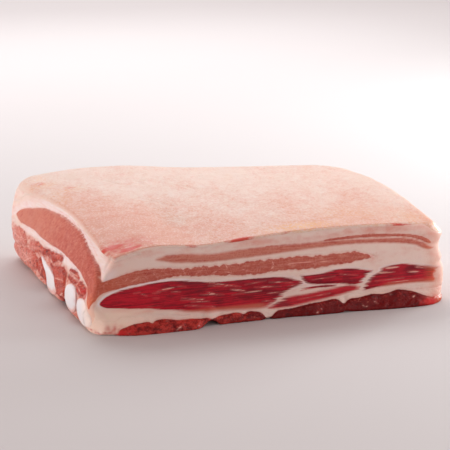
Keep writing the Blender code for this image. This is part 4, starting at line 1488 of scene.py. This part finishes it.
@dataclass(frozen=True)
class GristleFinish:
    """Smooth blue-white cartilage, flushed with pink where it meets the flesh."""

    white: Colour = (0.80, 0.775, 0.80)
    flush: Colour = (0.78, 0.46, 0.41)
    cream: Colour = (0.95, 0.78, 0.69)

    def make(self) -> bpy.types.Material:
        """Blends white into pink by the stored depth below the crown.

        Returns:
            The material.
        """
        material, s, shader = start_material("gristle")
        grain = moist_grain(s, 1.6, 0.36, 0.48)
        blush = s.swing(grain.outputs["Grain"], 0.5, s.stored("skirt"))
        gristle = s.mix(s.stored("cream"), self.white, self.cream)
        s.feed(shader.inputs["Base Color"], s.mix(s.between(blush, 0.80, 1.25), gristle, self.flush))
        s.feed(shader.inputs["Roughness"], grain.outputs["Roughness"])
        let_light_in(shader, 0.2, (1.0, 0.6, 0.5), 2.0)
        add_bump(s, shader, grain.outputs["Height"], 0.04, 0.1)
        return material


@dataclass(frozen=True)
class FloorFinish:
    """A plain pale sheet."""

    colour: Colour = (0.60, 0.565, 0.565)

    def make(self) -> bpy.types.Material:
        """A matt pale colour with the faintest unevenness.

        Returns:
            The material.
        """
        material, s, shader = start_material("floor")
        drift = s.noise(s.spot((120.0, 120.0, 120.0)), detail=1.0)
        darker = tuple(0.985 * c for c in self.colour)
        s.feed(shader.inputs["Base Color"], s.mix(drift, self.colour, darker))
        shader.inputs["Roughness"].default_value = 0.75
        shader.inputs["Specular IOR Level"].default_value = 0.2
        return material


# --- The slab's pieces
@dataclass(frozen=True)
class Crease:
    """A fold in the skin: its two ends across the slab's top, and its depth, in millimetres."""

    start: tuple[float, float]
    end: tuple[float, float]
    deep: float

    def rise(self, x: Array, y: Array) -> Array:
        """Height of the skin along the fold: a bent groove with a low swell beside it.

        Args:
            x: places along the slab.
            y: places from front to back.

        Returns:
            Heights in millimetres.
        """
        (ax, ay), (bx, by) = self.start, self.end
        dx, dy = bx - ax, by - ay
        share = ((x - ax) * dx + (y - ay) * dy) / (dx * dx + dy * dy)
        bend = 2.5 * np.sin(share * 7.0 + ax)
        off = ((x - ax) * dy - (y - ay) * dx) / math.hypot(dx, dy) + bend
        groove = np.exp(-((off / 1.8) ** 2)) - 0.6 * np.exp(-(((off - 3.4) / 2.6) ** 2))
        return -self.deep * ramp(share, -0.15, 0.2) * ramp(share, 1.15, 0.8) * groove


@dataclass
class Slab:
    """The whole slab: its form, its tissues and where the frame has it.

    The steps are the distances between the rim's columns along each side. right_edge is how far the right
    end's front corner stands out, against height.
    """

    form: SlabForm = field(default_factory=SlabForm)
    rind_thickness: float = 1.3
    steps: tuple[float, float, float, float] = (0.62, 1.25, 1.3, 0.62)
    hollows: tuple[Spot, ...] = spots(
        (-33, -90, 1, 4.5, 12, 2.4, 4.0), (-107, -26, 1, 12, 8, 3.2, 4.0), (-108, 14, 3, 12, 5, 3, 2.2),
        (-105, -57, 7, 12, 2.2, 7, 1.6), (2, -88, 0, 2, 8, 2.2, 0.5), (49, -88, 7.5, 1.4, 8, 2, 1.0),
    )
    # Painted shade: where the hollows of the cut are darkened.
    shaded_hollows: tuple[Spot, ...] = spots(
        (-107, -25, 1.6, 12, 6, 2.6, 1.0), (-107, 14, 5, 12, 2.6, 5, 0.7), (-105, -57, 6, 12, 1.2, 6, 0.6),
        (-104, -38, 22, 12, 3, 1, 0.6), (-33, -90, 0.8, 3.4, 12, 1.8, 0.8), (-106, 4, 24, 12, 6, 0.7, 0.5),
    )
    right_edge: Knots = knots(
        0, -1.2, 4, -0.6, 6, 0, 10, 0.6, 16, 0.8, 20, 0.4, 24, -0.8, 25.6, -0.2, 28.6, -1.2, 31.5, -2.1,
        34.9, -2.1, 37.6, -1, 40.2, 0, 43.8, -1.4, 47, -0.8,
    )
    bloods: tuple[Spot, ...] = spots(
        (-86, -90, 1.2, 3.6, 9, 1.6, 0.9), (102, -90, 2, 6, 9, 2.4, 0.85), (-100, -69, 22, 9, 2.6, 1.6, 1.0),
        (-101, -72, 18.6, 9, 2, 2, 0.8), (-101, -62, 19, 9, 2.4, 1.6, 0.6), (-104, -56.5, 9, 9, 0.8, 6, 0.75),
        (-104, -63, 2.6, 9, 5, 0.7, 0.7), (-103, -76, 1.6, 9, 6, 0.7, 0.6), (-104, -45, 3, 9, 3, 0.8, 0.6),
        (-98, -87, 0.6, 5, 9, 0.6, 0.5), (-104, -26, 2, 9, 8, 2.6, 0.9), (-105, 15, 3, 9, 5, 2, 0.7),
        (-92, -90, 1.6, 3, 9, 0.8, 0.7), (-80, -92, 2.4, 4, 9, 0.8, 0.6), (-88.5, -90, 3.6, 4.5, 9, 2, 0.62),
        (66.3, -84, 31.9, 0.6, 9, 0.5, 0.4), (68.4, -84, 33.4, 0.5, 9, 0.4, 0.35),
        (66.2, -84, 29.9, 0.7, 9, 0.5, 0.3),
    )
    flushes: tuple[Spot, ...] = spots(
        (-82, -84, 12.6, 9, 9, 1.3, 1.7), (-70, -84, 11.2, 10, 9, 1.2, 1.3), (-96, -84, 4, 8, 9, 4, 0.5),
        (70, -84, 31, 6, 9, 2, 0.4), (106, -84, 14, 5, 12, 14, 0.7), (-101, 80, 34, 9, 6, 7, 0.6),
        (15, -84, 45.6, 46, 9, 2.4, 0.75), (-92, -84, 7, 14, 9, 8, 0.3), (76, -84, 47.0, 50, 9, 3.2, 1.0),
        (104, -84, 41, 8, 9, 5, 0.5),
    )
    creases: tuple[Crease, ...] = (
        Crease((-62, 52), (-40, 40), 0.45), Crease((-40, 40), (-34, 58), 0.4),
        Crease((-20, 34), (-4, 22), 0.35), Crease((-50, 8), (-22, -14), 0.3),
        Crease((18, 44), (34, 30), 0.25), Crease((-70, -8), (-52, -30), 0.25),
    )
    stains: tuple[Spot, ...] = spots(
        (-86, -72, 8, 2.6, 1.9), (-78, -79.5, 8, 2.4, 1.9), (-82, -73, 20, 11, 0.74), (-90, -82, 4, 5, 0.5),
        (-14, -83.6, 7, 1.8, 1.6), (6, -84, 14, 1.2, 0.4), (86, -84, 11, 1.6, 1.3), (-42, -84, 4, 1.3, 0.7),
        (-98, 66, 4, 5, 0.6), (-84, 46, 5, 5, 0.5), (-20, 12, 5, 3, 0.18), (-48, 66, 10, 4, 0.28),
        (104, -72, 5, 7, 0.35), (112, -40, 4, 14, 0.25),
    )
    ambers: tuple[Spot, ...] = spots(
        (26, -77, 20, 8, 1.0), (-92, 30, 6, 26, 0.25), (-96, 62, 7, 6, 0.5), (-84, 44, 8, 6, 0.5),
        (-97, 78, 5, 6, 0.5), (96, -70, 14, 14, 0.35), (60, -60, 24, 14, 0.3), (111, -80, 6, 8, 1.0),
    )
    pinker: Spot = Spot((55, 8), (34, 26), 0.22)

    def __post_init__(self) -> None:
        """Works out the rim's columns and the shift that lays the form on the frame's solids."""
        self.plan, self.normal = self.form.outline(self.steps)
        self.anatomy = Anatomy(self.form)
        low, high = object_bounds()
        self.low, self.high = np.array(low) / MM, np.array(high) / MM
        walls = np.concatenate([self.wall(self.level(z)) for z in np.linspace(0, self.form.thickness, 26)])
        middle = (walls.min(axis=0) + walls.max(axis=0)) / 2
        wanted = (self.low + self.high) / 2
        self.shift = np.array([wanted[0] - middle[0], wanted[1] - middle[1], self.low[2]])
        self.edge_depth = self.rind_edge_depth()

    def level(self, height: float) -> Array:
        """One height for every column."""
        return np.full(len(self.plan), height)

    def rind_edge_depth(self) -> Array:
        """How far below the top the rind's cut edge runs: deeper where the skin rounds over.

        Returns:
            One depth for each column.
        """
        a, b = self.plan[:, 0] / (self.form.length / 2), self.plan[:, 1] / (self.form.depth / 2)
        rounds = np.maximum(5.2 * ramp(a, 0.86, 1.0), 3.6 * ramp(b, 0.8, 1.0))
        left = 0.4 * ramp(-a, 0.9, 1) + 2.2 * ramp(-a, 0.9, 1) * ramp(b, 0.3, 0.8)
        wave = rough_noise(np.column_stack([self.plan, np.zeros(len(self.plan))]), 7.0, 41, 4)
        return self.rind_thickness + np.maximum(rounds, left) + 0.3 * wave

    def inset_at(self, height: Array) -> Array:
        """How far the rounded rim and foot draw a wall in at a height.

        Args:
            height: height of each column above the block's base.

        Returns:
            The distances inwards.
        """
        top, foot = self.form.top_radius(self.plan), self.form.foot_radius(self.plan)
        over = np.clip(height - (self.form.thickness - top), 0, top)
        under = np.clip(foot - height, 0, foot)
        return top - np.sqrt(top**2 - over**2) + foot - np.sqrt(foot**2 - under**2)

    def wall(self, height: Array, inward: Array | float = 0.0, share: float = 1.0,
             inset: Array | None = None) -> Array:
        """A ring of the slab: on its wall at a height, drawn inwards, or shrunk towards the middle.

        Args:
            height: height of each column above the block's base.
            inward: further distance inside the wall.
            share: size of the ring against the full one.
            inset: distance inside the plan, where it isn't the rounded edges' own.

        Returns:
            The ring, (n, 3).
        """
        inset = self.inset_at(height) if inset is None else inset
        plan = (self.plan - self.normal * (inset + inward)[:, None]) * share
        return self.form.place(plan, height)

    def pole(self, height: float) -> Array:
        """The point at the slab's middle, at a height."""
        return self.form.place(np.zeros((1, 2)), np.full(1, height))

    def lay(self, cut: Array, moved: Array) -> Array:
        """Wears and rounds a piece's points, and lays them on the frame's solids, inside their box.

        Args:
            cut: its points as cut, which say where the right end is worn.
            moved: its points with their relief, in the slab's own millimetres.

        Returns:
            The points in the frame's millimetres.
        """
        worn = moved + np.column_stack([self.right_wear(cut), np.zeros((len(cut), 2))])
        return np.clip(self.form.eased(worn) + self.shift, self.low, self.high)

    def flesh_rings(self) -> tuple[RingMesh, int]:
        """The flesh as rings: the underside, the foot, the walls, and the top that the rind hides.

        Rings gather at the middle layer's upper edge, where the cap steps back.

        Returns:
            The rings, and how many of their points show.
        """
        form = self.form
        foot = form.foot_radius(self.plan)
        mesh = RingMesh()
        mesh.add(self.pole(0.0))
        for share in np.linspace(0.03, 0.95, 34):
            mesh.add(self.wall(self.level(0.0), share=share, inset=foot)[::4])
        for share, skip in ((0.975, 2), (0.99, 1), (1.0, 1)):
            mesh.add(self.wall(self.level(0.0), share=share, inset=foot)[::skip])
        for angle in np.radians([20, 40, 60, 78]):
            mesh.add(self.wall(foot * (1 - math.cos(angle))))
        top = form.thickness - self.edge_depth
        ledge = np.clip(self.ledge_rows(), foot + 8, top - 1.5)
        for share in (*np.linspace(0, 0.985, 54), 0.992, 0.9975):
            mesh.add(self.wall(foot + (ledge - foot) * share))
        for share in (0.008, 0.03, *np.linspace(0.07, 1, 20)):
            mesh.add(self.wall(ledge + (top - ledge) * share))
        showing = len(mesh.points)
        mesh.add(self.wall(top + 0.1, inward=0.8))
        mesh.add(self.wall(top - 0.2, inward=4.0))
        hidden = form.thickness - self.rind_thickness - 1.5
        for share, skip in ((0.9, 2), (0.7, 4), (0.4, 4)):
            mesh.add(self.wall(self.level(hidden), share=share, inset=foot)[::skip])
        mesh.add(self.pole(hidden))
        return mesh, showing

    def ledge_rows(self) -> Array:
        """Height in the block of the middle layer's upper edge on each column, found in three rounds.

        Returns:
            The heights.
        """
        form, height = self.form, self.level(35.0)
        for _ in range(3):
            x, y, _ = self.wall(height).T
            base = form.base(x, y)
            ledge = self.anatomy.middle_edges(x, y)[1] + self.anatomy.wander(x, y)
            height = (ledge - base) / (form.top(x, y) - base) * form.thickness
        return height

    def make_flesh(self, material: bpy.types.Material) -> bpy.types.Object:
        """The underside and the walls up to the rind, with the lean's relief.

        Args:
            material: the flesh's finish.

        Returns:
            The piece.
        """
        mesh, showing = self.flesh_rings()
        points, faces = mesh.points, mesh.faces()
        normals = outward(points, *faces)
        reading = self.anatomy.read(points)
        relief = self.relief(points, normals, reading)
        relief[showing:] = 0.0
        moved = points + normals * relief[:, None]
        moved[:, 0] += self.cap_recess(points, reading.ledge)
        stored = {name: getattr(reading, name) for name in FLESH_VALUES if hasattr(reading, name)}
        stored |= self.marks(points, normals, reading)
        return make_piece("flesh", self.lay(points, moved), *faces, stored, material)

    def marks(self, points: Array, normals: Array, reading: Reading) -> dict[str, Array]:
        """The marks on the cuts that aren't tissue, as shares from 0 to about 1.

        wall is 1 on the rib end, feather where the pink muscle's lower edge feathers, and cream on the low
        fat of the front's left corner. flush pinks the fat, hollow is painted shade in the hollows, and blood
        lies in small patches.

        Args:
            points: places in the slab's own millimetres.
            normals: outward directions.
            reading: the tissues at the places.

        Returns:
            The shares by name.
        """
        x, y, z = points.T
        wall = ramp(x, -80, -93) * ramp(-normals[:, 0], 0.3, 0.7)
        flush = 0.62 * wall * ramp(z, 28, 22) * ramp(y, -76, -70)
        broken = 0.75 + 1.1 * rough_noise(points, 2.2, 31, 2)
        uneven = 1.4 * (0.8 + rough_noise(points, 3, 33, 2))
        return {
            "wall": wall,
            "feather": wall * ramp(y, -60, -46) * ramp(y, 16, 4) * ramp(reading.ledge, -7, -2),
            "cream": ramp(x, -54, -88) * ramp(z, 18, 11) * ramp(y, -58, -76),
            "flush": np.maximum(flush, 0.55 * strongest(self.flushes, points)),
            # Painted shade in the hollows.
            "hollow": 0.95 * np.clip(strongest(self.shaded_hollows, points) * uneven, 0, 1),
            "blood": np.clip(strongest(self.bloods, points) * 1.5 * broken, 0, 0.95),
        }

    def cap_recess(self, points: Array, ledge: Array) -> Array:
        """How far the fat cap steps back above the pink muscle at the rib end, most at the front corner.

        The step lies in the last half millimetre below the muscle's upper edge. It is a shift to the right
        that dies away into the slab.

        Args:
            points: places in the slab's own millimetres.
            ledge: height of each place above the pink muscle's upper edge.

        Returns:
            Shifts in millimetres.
        """
        x, y, z = points.T
        deepest = 0.3 + 0.5 * ramp(y, -40, -66) + 2.1 * ramp(y, -68, -83)
        rise = 0.8 + 0.2 * ramp(z, 32, 42)
        return deepest * ramp(ledge, -0.45, -0.06) * rise * (1 - ramp(x, -98, -72))

    def right_wear(self, points: Array) -> Array:
        """The right end's ragged edge: shifts along the slab, by right_edge at the front and noise behind.

        Args:
            points: places in the slab's own millimetres.

        Returns:
            Shifts in millimetres.
        """
        x, y, z = points.T
        front = curve(self.right_edge, z) * ramp(y, 20, -50)
        rest = 0.9 * rough_noise(points, (9, 12, 5), 17) * ramp(y, -60, 0)
        return (front + rest) * ramp(x, 88, 108)

    def relief(self, points: Array, normals: Array, reading: Reading) -> Array:
        """How far each point stands out of the plain cut.

        Lean swells a little past its edge and fat sits in a shallow groove beside it. The under muscles
        swell most, in lumps, and the rib end is rougher than the long cut.

        Args:
            points: places in the slab's own millimetres.
            normals: outward directions.
            reading: the tissues at the places.

        Returns:
            Distances in millimetres.
        """
        x, _, z = points.T
        lean = reading.lean
        on_left = np.clip(-normals[:, 0], 0, 1) * ramp(x, -80, -92)
        on_foot = np.clip(-normals[:, 2], 0, 1)
        torn = ramp(z, 29, 25)
        total = 0.22 * rough_noise(points, (16, 16, 9), 3)
        total += 0.24 * ramp(lean, -0.3, 1.6) - 0.16 * ramp(abs(lean + 0.3), 0.9, 0.0)
        total += 0.10 * rough_noise(points, (7, 3, 1.4), 5) * ramp(lean, -0.5, 0.5)
        lumps = rough_noise(points, (9, 8, 6), 8) * 1.1 + rough_noise(points, (2.6, 2.6, 2.2), 9) * 0.3
        total += reading.dark * (0.55 + lumps) * ramp(lean, 0.0, 1.5) * (1 - 0.6 * on_foot)
        total += on_left * (reading.muscle > -2.5) * (1.1 * ramp(reading.muscle, -0.4, 1.8) - 0.4)
        total += on_left * torn * (0.45 * rough_noise(points, (6, 5, 3.4), 12) - 0.25)
        total += 0.5 * on_left * ramp(lean, -0.2, 2.0) * (1 - torn) * ramp(reading.ledge, 0.5, -1.0)
        total += 0.5 * ramp(x, 98, 108) * rough_noise(points, (9, 9, 6), 14)
        for hollow in self.hollows:
            total -= hollow.share(points)
        return np.where(on_foot > 0.7, np.minimum(total, 0.0) * 0.6, total)

    def rind_rings(self) -> tuple[RingMesh, int]:
        """The rind as rings: its hidden underside, its cut edge, its rounded rim and its broad top.

        Returns:
            The rings, and how many of their points are hidden.
        """
        thick = self.form.thickness
        top, full = self.form.top_radius(self.plan), self.level(thick)
        edge, under = thick - self.edge_depth, thick - self.rind_thickness
        mesh = RingMesh()
        mesh.add(self.pole(under))
        for share, skip in ((0.35, 4), (0.7, 4), (0.93, 2)):
            mesh.add(self.wall(self.level(under), share=share, inset=top)[::skip])
        mesh.add(self.wall(np.minimum(edge, under) - 0.05, inward=2.4))
        mesh.add(self.wall(edge - 0.12, inward=0.5))
        hidden = len(mesh.points)
        straight = np.maximum(self.edge_depth - top, 0)
        for share in (0.0, 0.5):
            mesh.add(self.wall(edge + straight * share))
        start = np.where(straight > 0, 0.0, np.arcsin(np.clip(1 - self.edge_depth / top, 0, 1)))
        for share in np.linspace(0.001, 1, 9):
            angle = start + (np.pi / 2 - start) * share
            mesh.add(self.wall(full - top + top * np.sin(angle), inset=top * (1 - np.cos(angle))))
        for share in (0.992, 0.984):
            mesh.add(self.wall(full, share=share, inset=top))
        for share in np.linspace(0.974, 0.03, 74):
            mesh.add(self.wall(full, share=share, inset=top)[::2])
        mesh.add(self.pole(thick))
        return mesh, hidden

    def make_rind(self, material: bpy.types.Material) -> bpy.types.Object:
        """The skin, softly uneven, with its folds, and with the shares of its stains and tints.

        Args:
            material: the rind's finish.

        Returns:
            The piece.
        """
        mesh, hidden = self.rind_rings()
        points, faces = mesh.points, mesh.faces()
        normals = outward(points, *faces)
        x, y, z = points.T
        relief = 0.35 * rough_noise(points, (26, 22, 22), 21) + 0.10 * rough_noise(points, (4, 3.4, 4), 22)
        relief += 0.16 * ramp(self.form.top(x, y) - z, 0.0, 1.2)
        relief += sum(crease.rise(x, y) for crease in self.creases)
        relief[:hidden] = 0.0
        moved = points + normals * relief[:, None]
        moved[:, 0] += self.cap_recess(points, np.ones(len(x)))
        plain = np.column_stack([x, y])
        rim = np.maximum(ramp(x, -80, -88), ramp(y, -70, -80) * ramp(x, 104, 90))
        amber = 0.3 * ramp(y, -82.7, -83.7) * ramp(x, -45, 0)
        flush = 0.52 * ramp(y, 40, -84) + 0.74 * ramp(x, -10, -95) * ramp(y, 100, -50)
        stored = {
            "rim": ramp(normals[:, 2], 0.93, 0.45) * (0.3 + 0.65 * rim),
            "stain": strongest(self.stains, plain),
            "amber": np.maximum(amber, strongest(self.ambers, plain)),
            "flush": 0.10 + flush + self.pinker.share(plain),
        }
        return make_piece("rind", self.lay(points, moved), *faces, stored, material)


class Stub(Enum):
    """The stubs of rib cartilage that show at the rib end."""

    HIGH = "cartilage_1"
    MIDDLE = "cartilage_2"
    NEAR = "cartilage_3"


@dataclass
class Cartilage:
    """A stub of cartilage: a smooth cut end that stands out of the rib end as a low dome.

    The outline is across (y) and up (z), in millimetres.
    """

    stub: Stub
    outline: Knots
    proud: float
    sunk: float = 8.0
    around: int = 128

    def rim(self) -> Array:
        """The rounded outline, stepped evenly along its length.

        Returns:
            The outline, (around, 2).
        """
        points = softened(self.outline, 3)
        closed = np.concatenate([points, points[:1]])
        length = np.concatenate([[0], np.cumsum(np.linalg.norm(np.diff(closed, axis=0), axis=1))])
        at = np.linspace(0, length[-1], self.around, endpoint=False)
        return np.column_stack([np.interp(at, length, closed[:, k]) for k in (0, 1)])

    def ring(self, form: SlabForm, size: float, out: float) -> Array:
        """A ring of the stub.

        Args:
            form: the slab, whose left wall it stands on.
            size: its size against the rim's, about the rim's middle.
            out: how far it stands out of the wall.

        Returns:
            The ring, (n, 3).
        """
        rim = self.rim()
        y, z = (rim.mean(axis=0) + size * (rim - rim.mean(axis=0)) - (1.3 * self.proud, 0)).T
        wall = form.eased(np.column_stack([form.wall_x(y, z), y, z]))
        return wall - (out, 0, 0)

    def make(self, slab: Slab, material: bpy.types.Material) -> bpy.types.Object:
        """The stub as rings from its buried end to its crown.

        The rings rise straight to the wall and then close over the crown: where a ring's size is q, it stands
        out by (1 - q^3)^(1/2) of the dome's height.

        Args:
            slab: the slab that it stands out of.
            material: the gristle's finish.

        Returns:
            The piece.
        """
        mesh, form = RingMesh(), slab.form
        sizes = np.cos(np.radians(np.linspace(4, 88, 18))) ** 0.7
        steps = [(0.72, -self.sunk), (0.9, -2.2), (1.0, -0.9)]
        steps += [(q, self.proud * (1 - q**3) ** 0.5) for q in sizes]
        mesh.add(self.ring(form, 0.0, -self.sunk)[:1])
        for size, out in steps:
            mesh.add(self.ring(form, size, out))
        mesh.add(self.ring(form, 0.0, self.proud)[:1])
        points = mesh.points
        quads, triangles = mesh.faces()
        normals = outward(points, quads, triangles)
        if normals[-1, 0] > 0:
            quads, triangles, normals = quads[:, ::-1], triangles[:, ::-1], -normals
        points = points + normals * (0.03 * rough_noise(points, 9.0, 51, 2)[:, None])
        points[:, 2] = np.maximum(points[:, 2], 0.1)
        reach = [0.0] + [size for size, _ in steps] + [0.0]
        skirt = np.concatenate([np.full(len(ring), size) for ring, size in zip(mesh.rings, reach)])
        skirt = skirt + 0.35 * ramp(points[:, 2], 10, 3) * ramp(points[:, 1], -66, -58)
        stored = {"skirt": skirt, "cream": ramp(points[:, 1], -64, -80)}
        laid = np.clip(points + slab.shift, slab.low, slab.high)
        return make_piece(self.stub.value + "_stub", laid, quads, triangles, stored, material)


@dataclass(frozen=True)
class Softbox:
    """A soft light: its bearing from the slab's right hand, its height angle, its size and its power."""

    name: str
    bearing: float
    lift: float
    distance: float
    size: tuple[float, float]
    power: float
    tint: Colour = (1.0, 1.0, 1.0)
    aim: tuple[float, float, float] = (0.0, 0.0, 0.03)


@dataclass
class Studio:
    """A pale floor, soft lights, and the camera."""

    distance: float = 1.040
    azimuth: float = -17.8
    elevation: float = 15.0
    lens: float = 136.0
    target: tuple[float, float, float] = (0.0035, 0.0, 0.0337)
    surround: Colour = (1.0, 0.83, 0.79)
    surround_strength: float = 0.41
    lights: tuple[Softbox, ...] = (
        Softbox("key", 20, 14, 0.85, (0.3, 0.17), 5.2, (0.93, 0.99, 1.0)),
        Softbox("right", -10, 30, 0.7, (0.4, 0.4), 1.75, (0.93, 0.98, 1.0)),
        Softbox("back", 85, 28, 1.1, (0.9, 0.5), 2.0, (0.95, 0.99, 1.0)),
        Softbox("top", 84.5, 46.5, 1.62, (1.6, 1.1), 20.2, (0.97, 0.985, 1.0), (0.05, 1.3, 0.0)),
        Softbox("left", 172, 9, 1.0, (0.5, 0.14), 4.8, (1.0, 0.95, 0.93)),
        Softbox("front", -66, 12, 0.8, (0.4, 0.12), 1.05, (1.0, 0.96, 0.94)),
    )

    def add_floor(self, material: bpy.types.Material) -> bpy.types.Object:
        """A wide floor at the slab's foot, in even squares.

        Args:
            material: the floor's finish.

        Returns:
            The floor.
        """
        side = np.linspace(-3000.0, 3000.0, 25)
        x, y = np.meshgrid(side, side)
        points = np.column_stack([x.ravel(), y.ravel(), np.zeros(x.size)])
        n = len(side)
        at = (np.arange(n - 1)[:, None] * n + np.arange(n - 1)).ravel()
        quads = np.column_stack([at, at + 1, at + n + 1, at + n])
        return make_piece("floor", points, quads, np.zeros((0, 3), int), {}, material)

    def add_light(self, light: Softbox) -> None:
        """Hangs a soft box at its bearing, facing the slab.

        Args:
            light: where it is, how large and how strong.
        """
        turn, lift = math.radians(light.bearing), math.radians(light.lift)
        place = light.distance * Vector((math.cos(turn) * math.cos(lift), math.sin(turn) * math.cos(lift),
                                         math.sin(lift)))
        aim = Vector(light.aim)
        lamp = bpy.data.lights.new(light.name, "AREA")
        lamp.shape, lamp.size, lamp.size_y = "RECTANGLE", light.size[0], light.size[1]
        lamp.energy, lamp.color = light.power, light.tint
        holder = bpy.data.objects.new(light.name, lamp)
        holder.location = place
        holder.rotation_euler = (aim - place).to_track_quat("-Z", "Y").to_euler()
        bpy.context.scene.collection.objects.link(holder)

    def add_lights(self) -> None:
        """The soft boxes, and an even pale surround."""
        world = bpy.data.worlds.new("surround")
        world.use_nodes = True
        background = world.node_tree.nodes["Background"]
        background.inputs[0].default_value = (*self.surround, 1)
        background.inputs[1].default_value = self.surround_strength
        bpy.context.scene.world = world
        for light in self.lights:
            self.add_light(light)

    def add_camera(self, shift: Array) -> None:
        """A long lens in front and to the left, a little above.

        Args:
            shift: where the slab's own origin lies in the frame, in millimetres.
        """
        turn, lift = math.radians(self.azimuth), math.radians(self.elevation)
        back = Vector((math.sin(turn) * math.cos(lift), -math.cos(turn) * math.cos(lift), math.sin(lift)))
        aim = Vector(self.target) + Vector(shift * MM)
        lens = bpy.data.cameras.new("camera")
        lens.lens, lens.sensor_width = self.lens, 36.0
        lens.clip_start, lens.clip_end = 0.01, 20.0
        camera = bpy.data.objects.new("camera", lens)
        camera.location = aim + back * self.distance
        camera.rotation_euler = (-back).to_track_quat("-Z", "Y").to_euler()
        bpy.context.scene.collection.objects.link(camera)
        bpy.context.scene.camera = camera


def dress(piece: bpy.types.Object, nodes: Iterable[str]) -> None:
    """Ties a piece to the body, and hides the solids that it stands for.

    Args:
        piece: the piece.
        nodes: the frame's solids that it replaces.
    """
    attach(piece, BODY)
    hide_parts(*nodes)
    LOG.info("%s: %d faces, replaces %s", piece.name, len(piece.data.polygons), ", ".join(nodes))


def main() -> None:
    """Builds the slab's pieces in order, then the studio."""
    logging.basicConfig(level=logging.INFO, format="%(message)s")
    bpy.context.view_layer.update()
    bpy.context.scene.view_settings.view_transform = "Standard"
    slab = Slab()
    leans = [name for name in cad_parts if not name.startswith("cartilage")]
    dress(slab.make_flesh(FleshFinish().make()), leans)
    dress(slab.make_rind(RindFinish().make()), ["fat_and_rind"])
    gristle = GristleFinish().make()
    stubs = (
        Cartilage(Stub.HIGH, knots(
            18.6, 19.7, 12.3, 18.6, 5.5, 17.2, -5.9, 15.2, -11.4, 12.4, -13.5, 8.2, -12.6, 4.4, -5.8, 1.2,
            3.2, 0.8, 7.1, 2.9, 6, 7.4, 7.4, 11.6, 11.4, 14.6, 16.3, 16.8,
        ), 0.9),
        Cartilage(Stub.MIDDLE, knots(
            -35.2, 15.1, -39.3, 18.2, -45, 20, -51.5, 20, -55, 17.7, -55.4, 13, -55.1, 8.5, -51, 4.2,
            -43.8, 2.4, -36.7, 3.6, -33.5, 7.8, -33.8, 11.6,
        ), 1.5),
        Cartilage(Stub.NEAR, knots(
            -58.6, 13.6, -63, 16, -69, 17.6, -74.4, 16.6, -77.6, 13, -79.5, 9, -80, 4.4, -73.8, 1.6,
            -64.1, 2, -58, 4.6, -57.4, 9.3,
        ), 0.5),
    )
    for stub in stubs:
        dress(stub.make(slab, gristle), [stub.stub.value])
    studio = Studio()
    studio.add_floor(FloorFinish().make())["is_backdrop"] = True
    studio.add_lights()
    studio.add_camera(slab.shift)


if __name__ == "__main__":
    main()
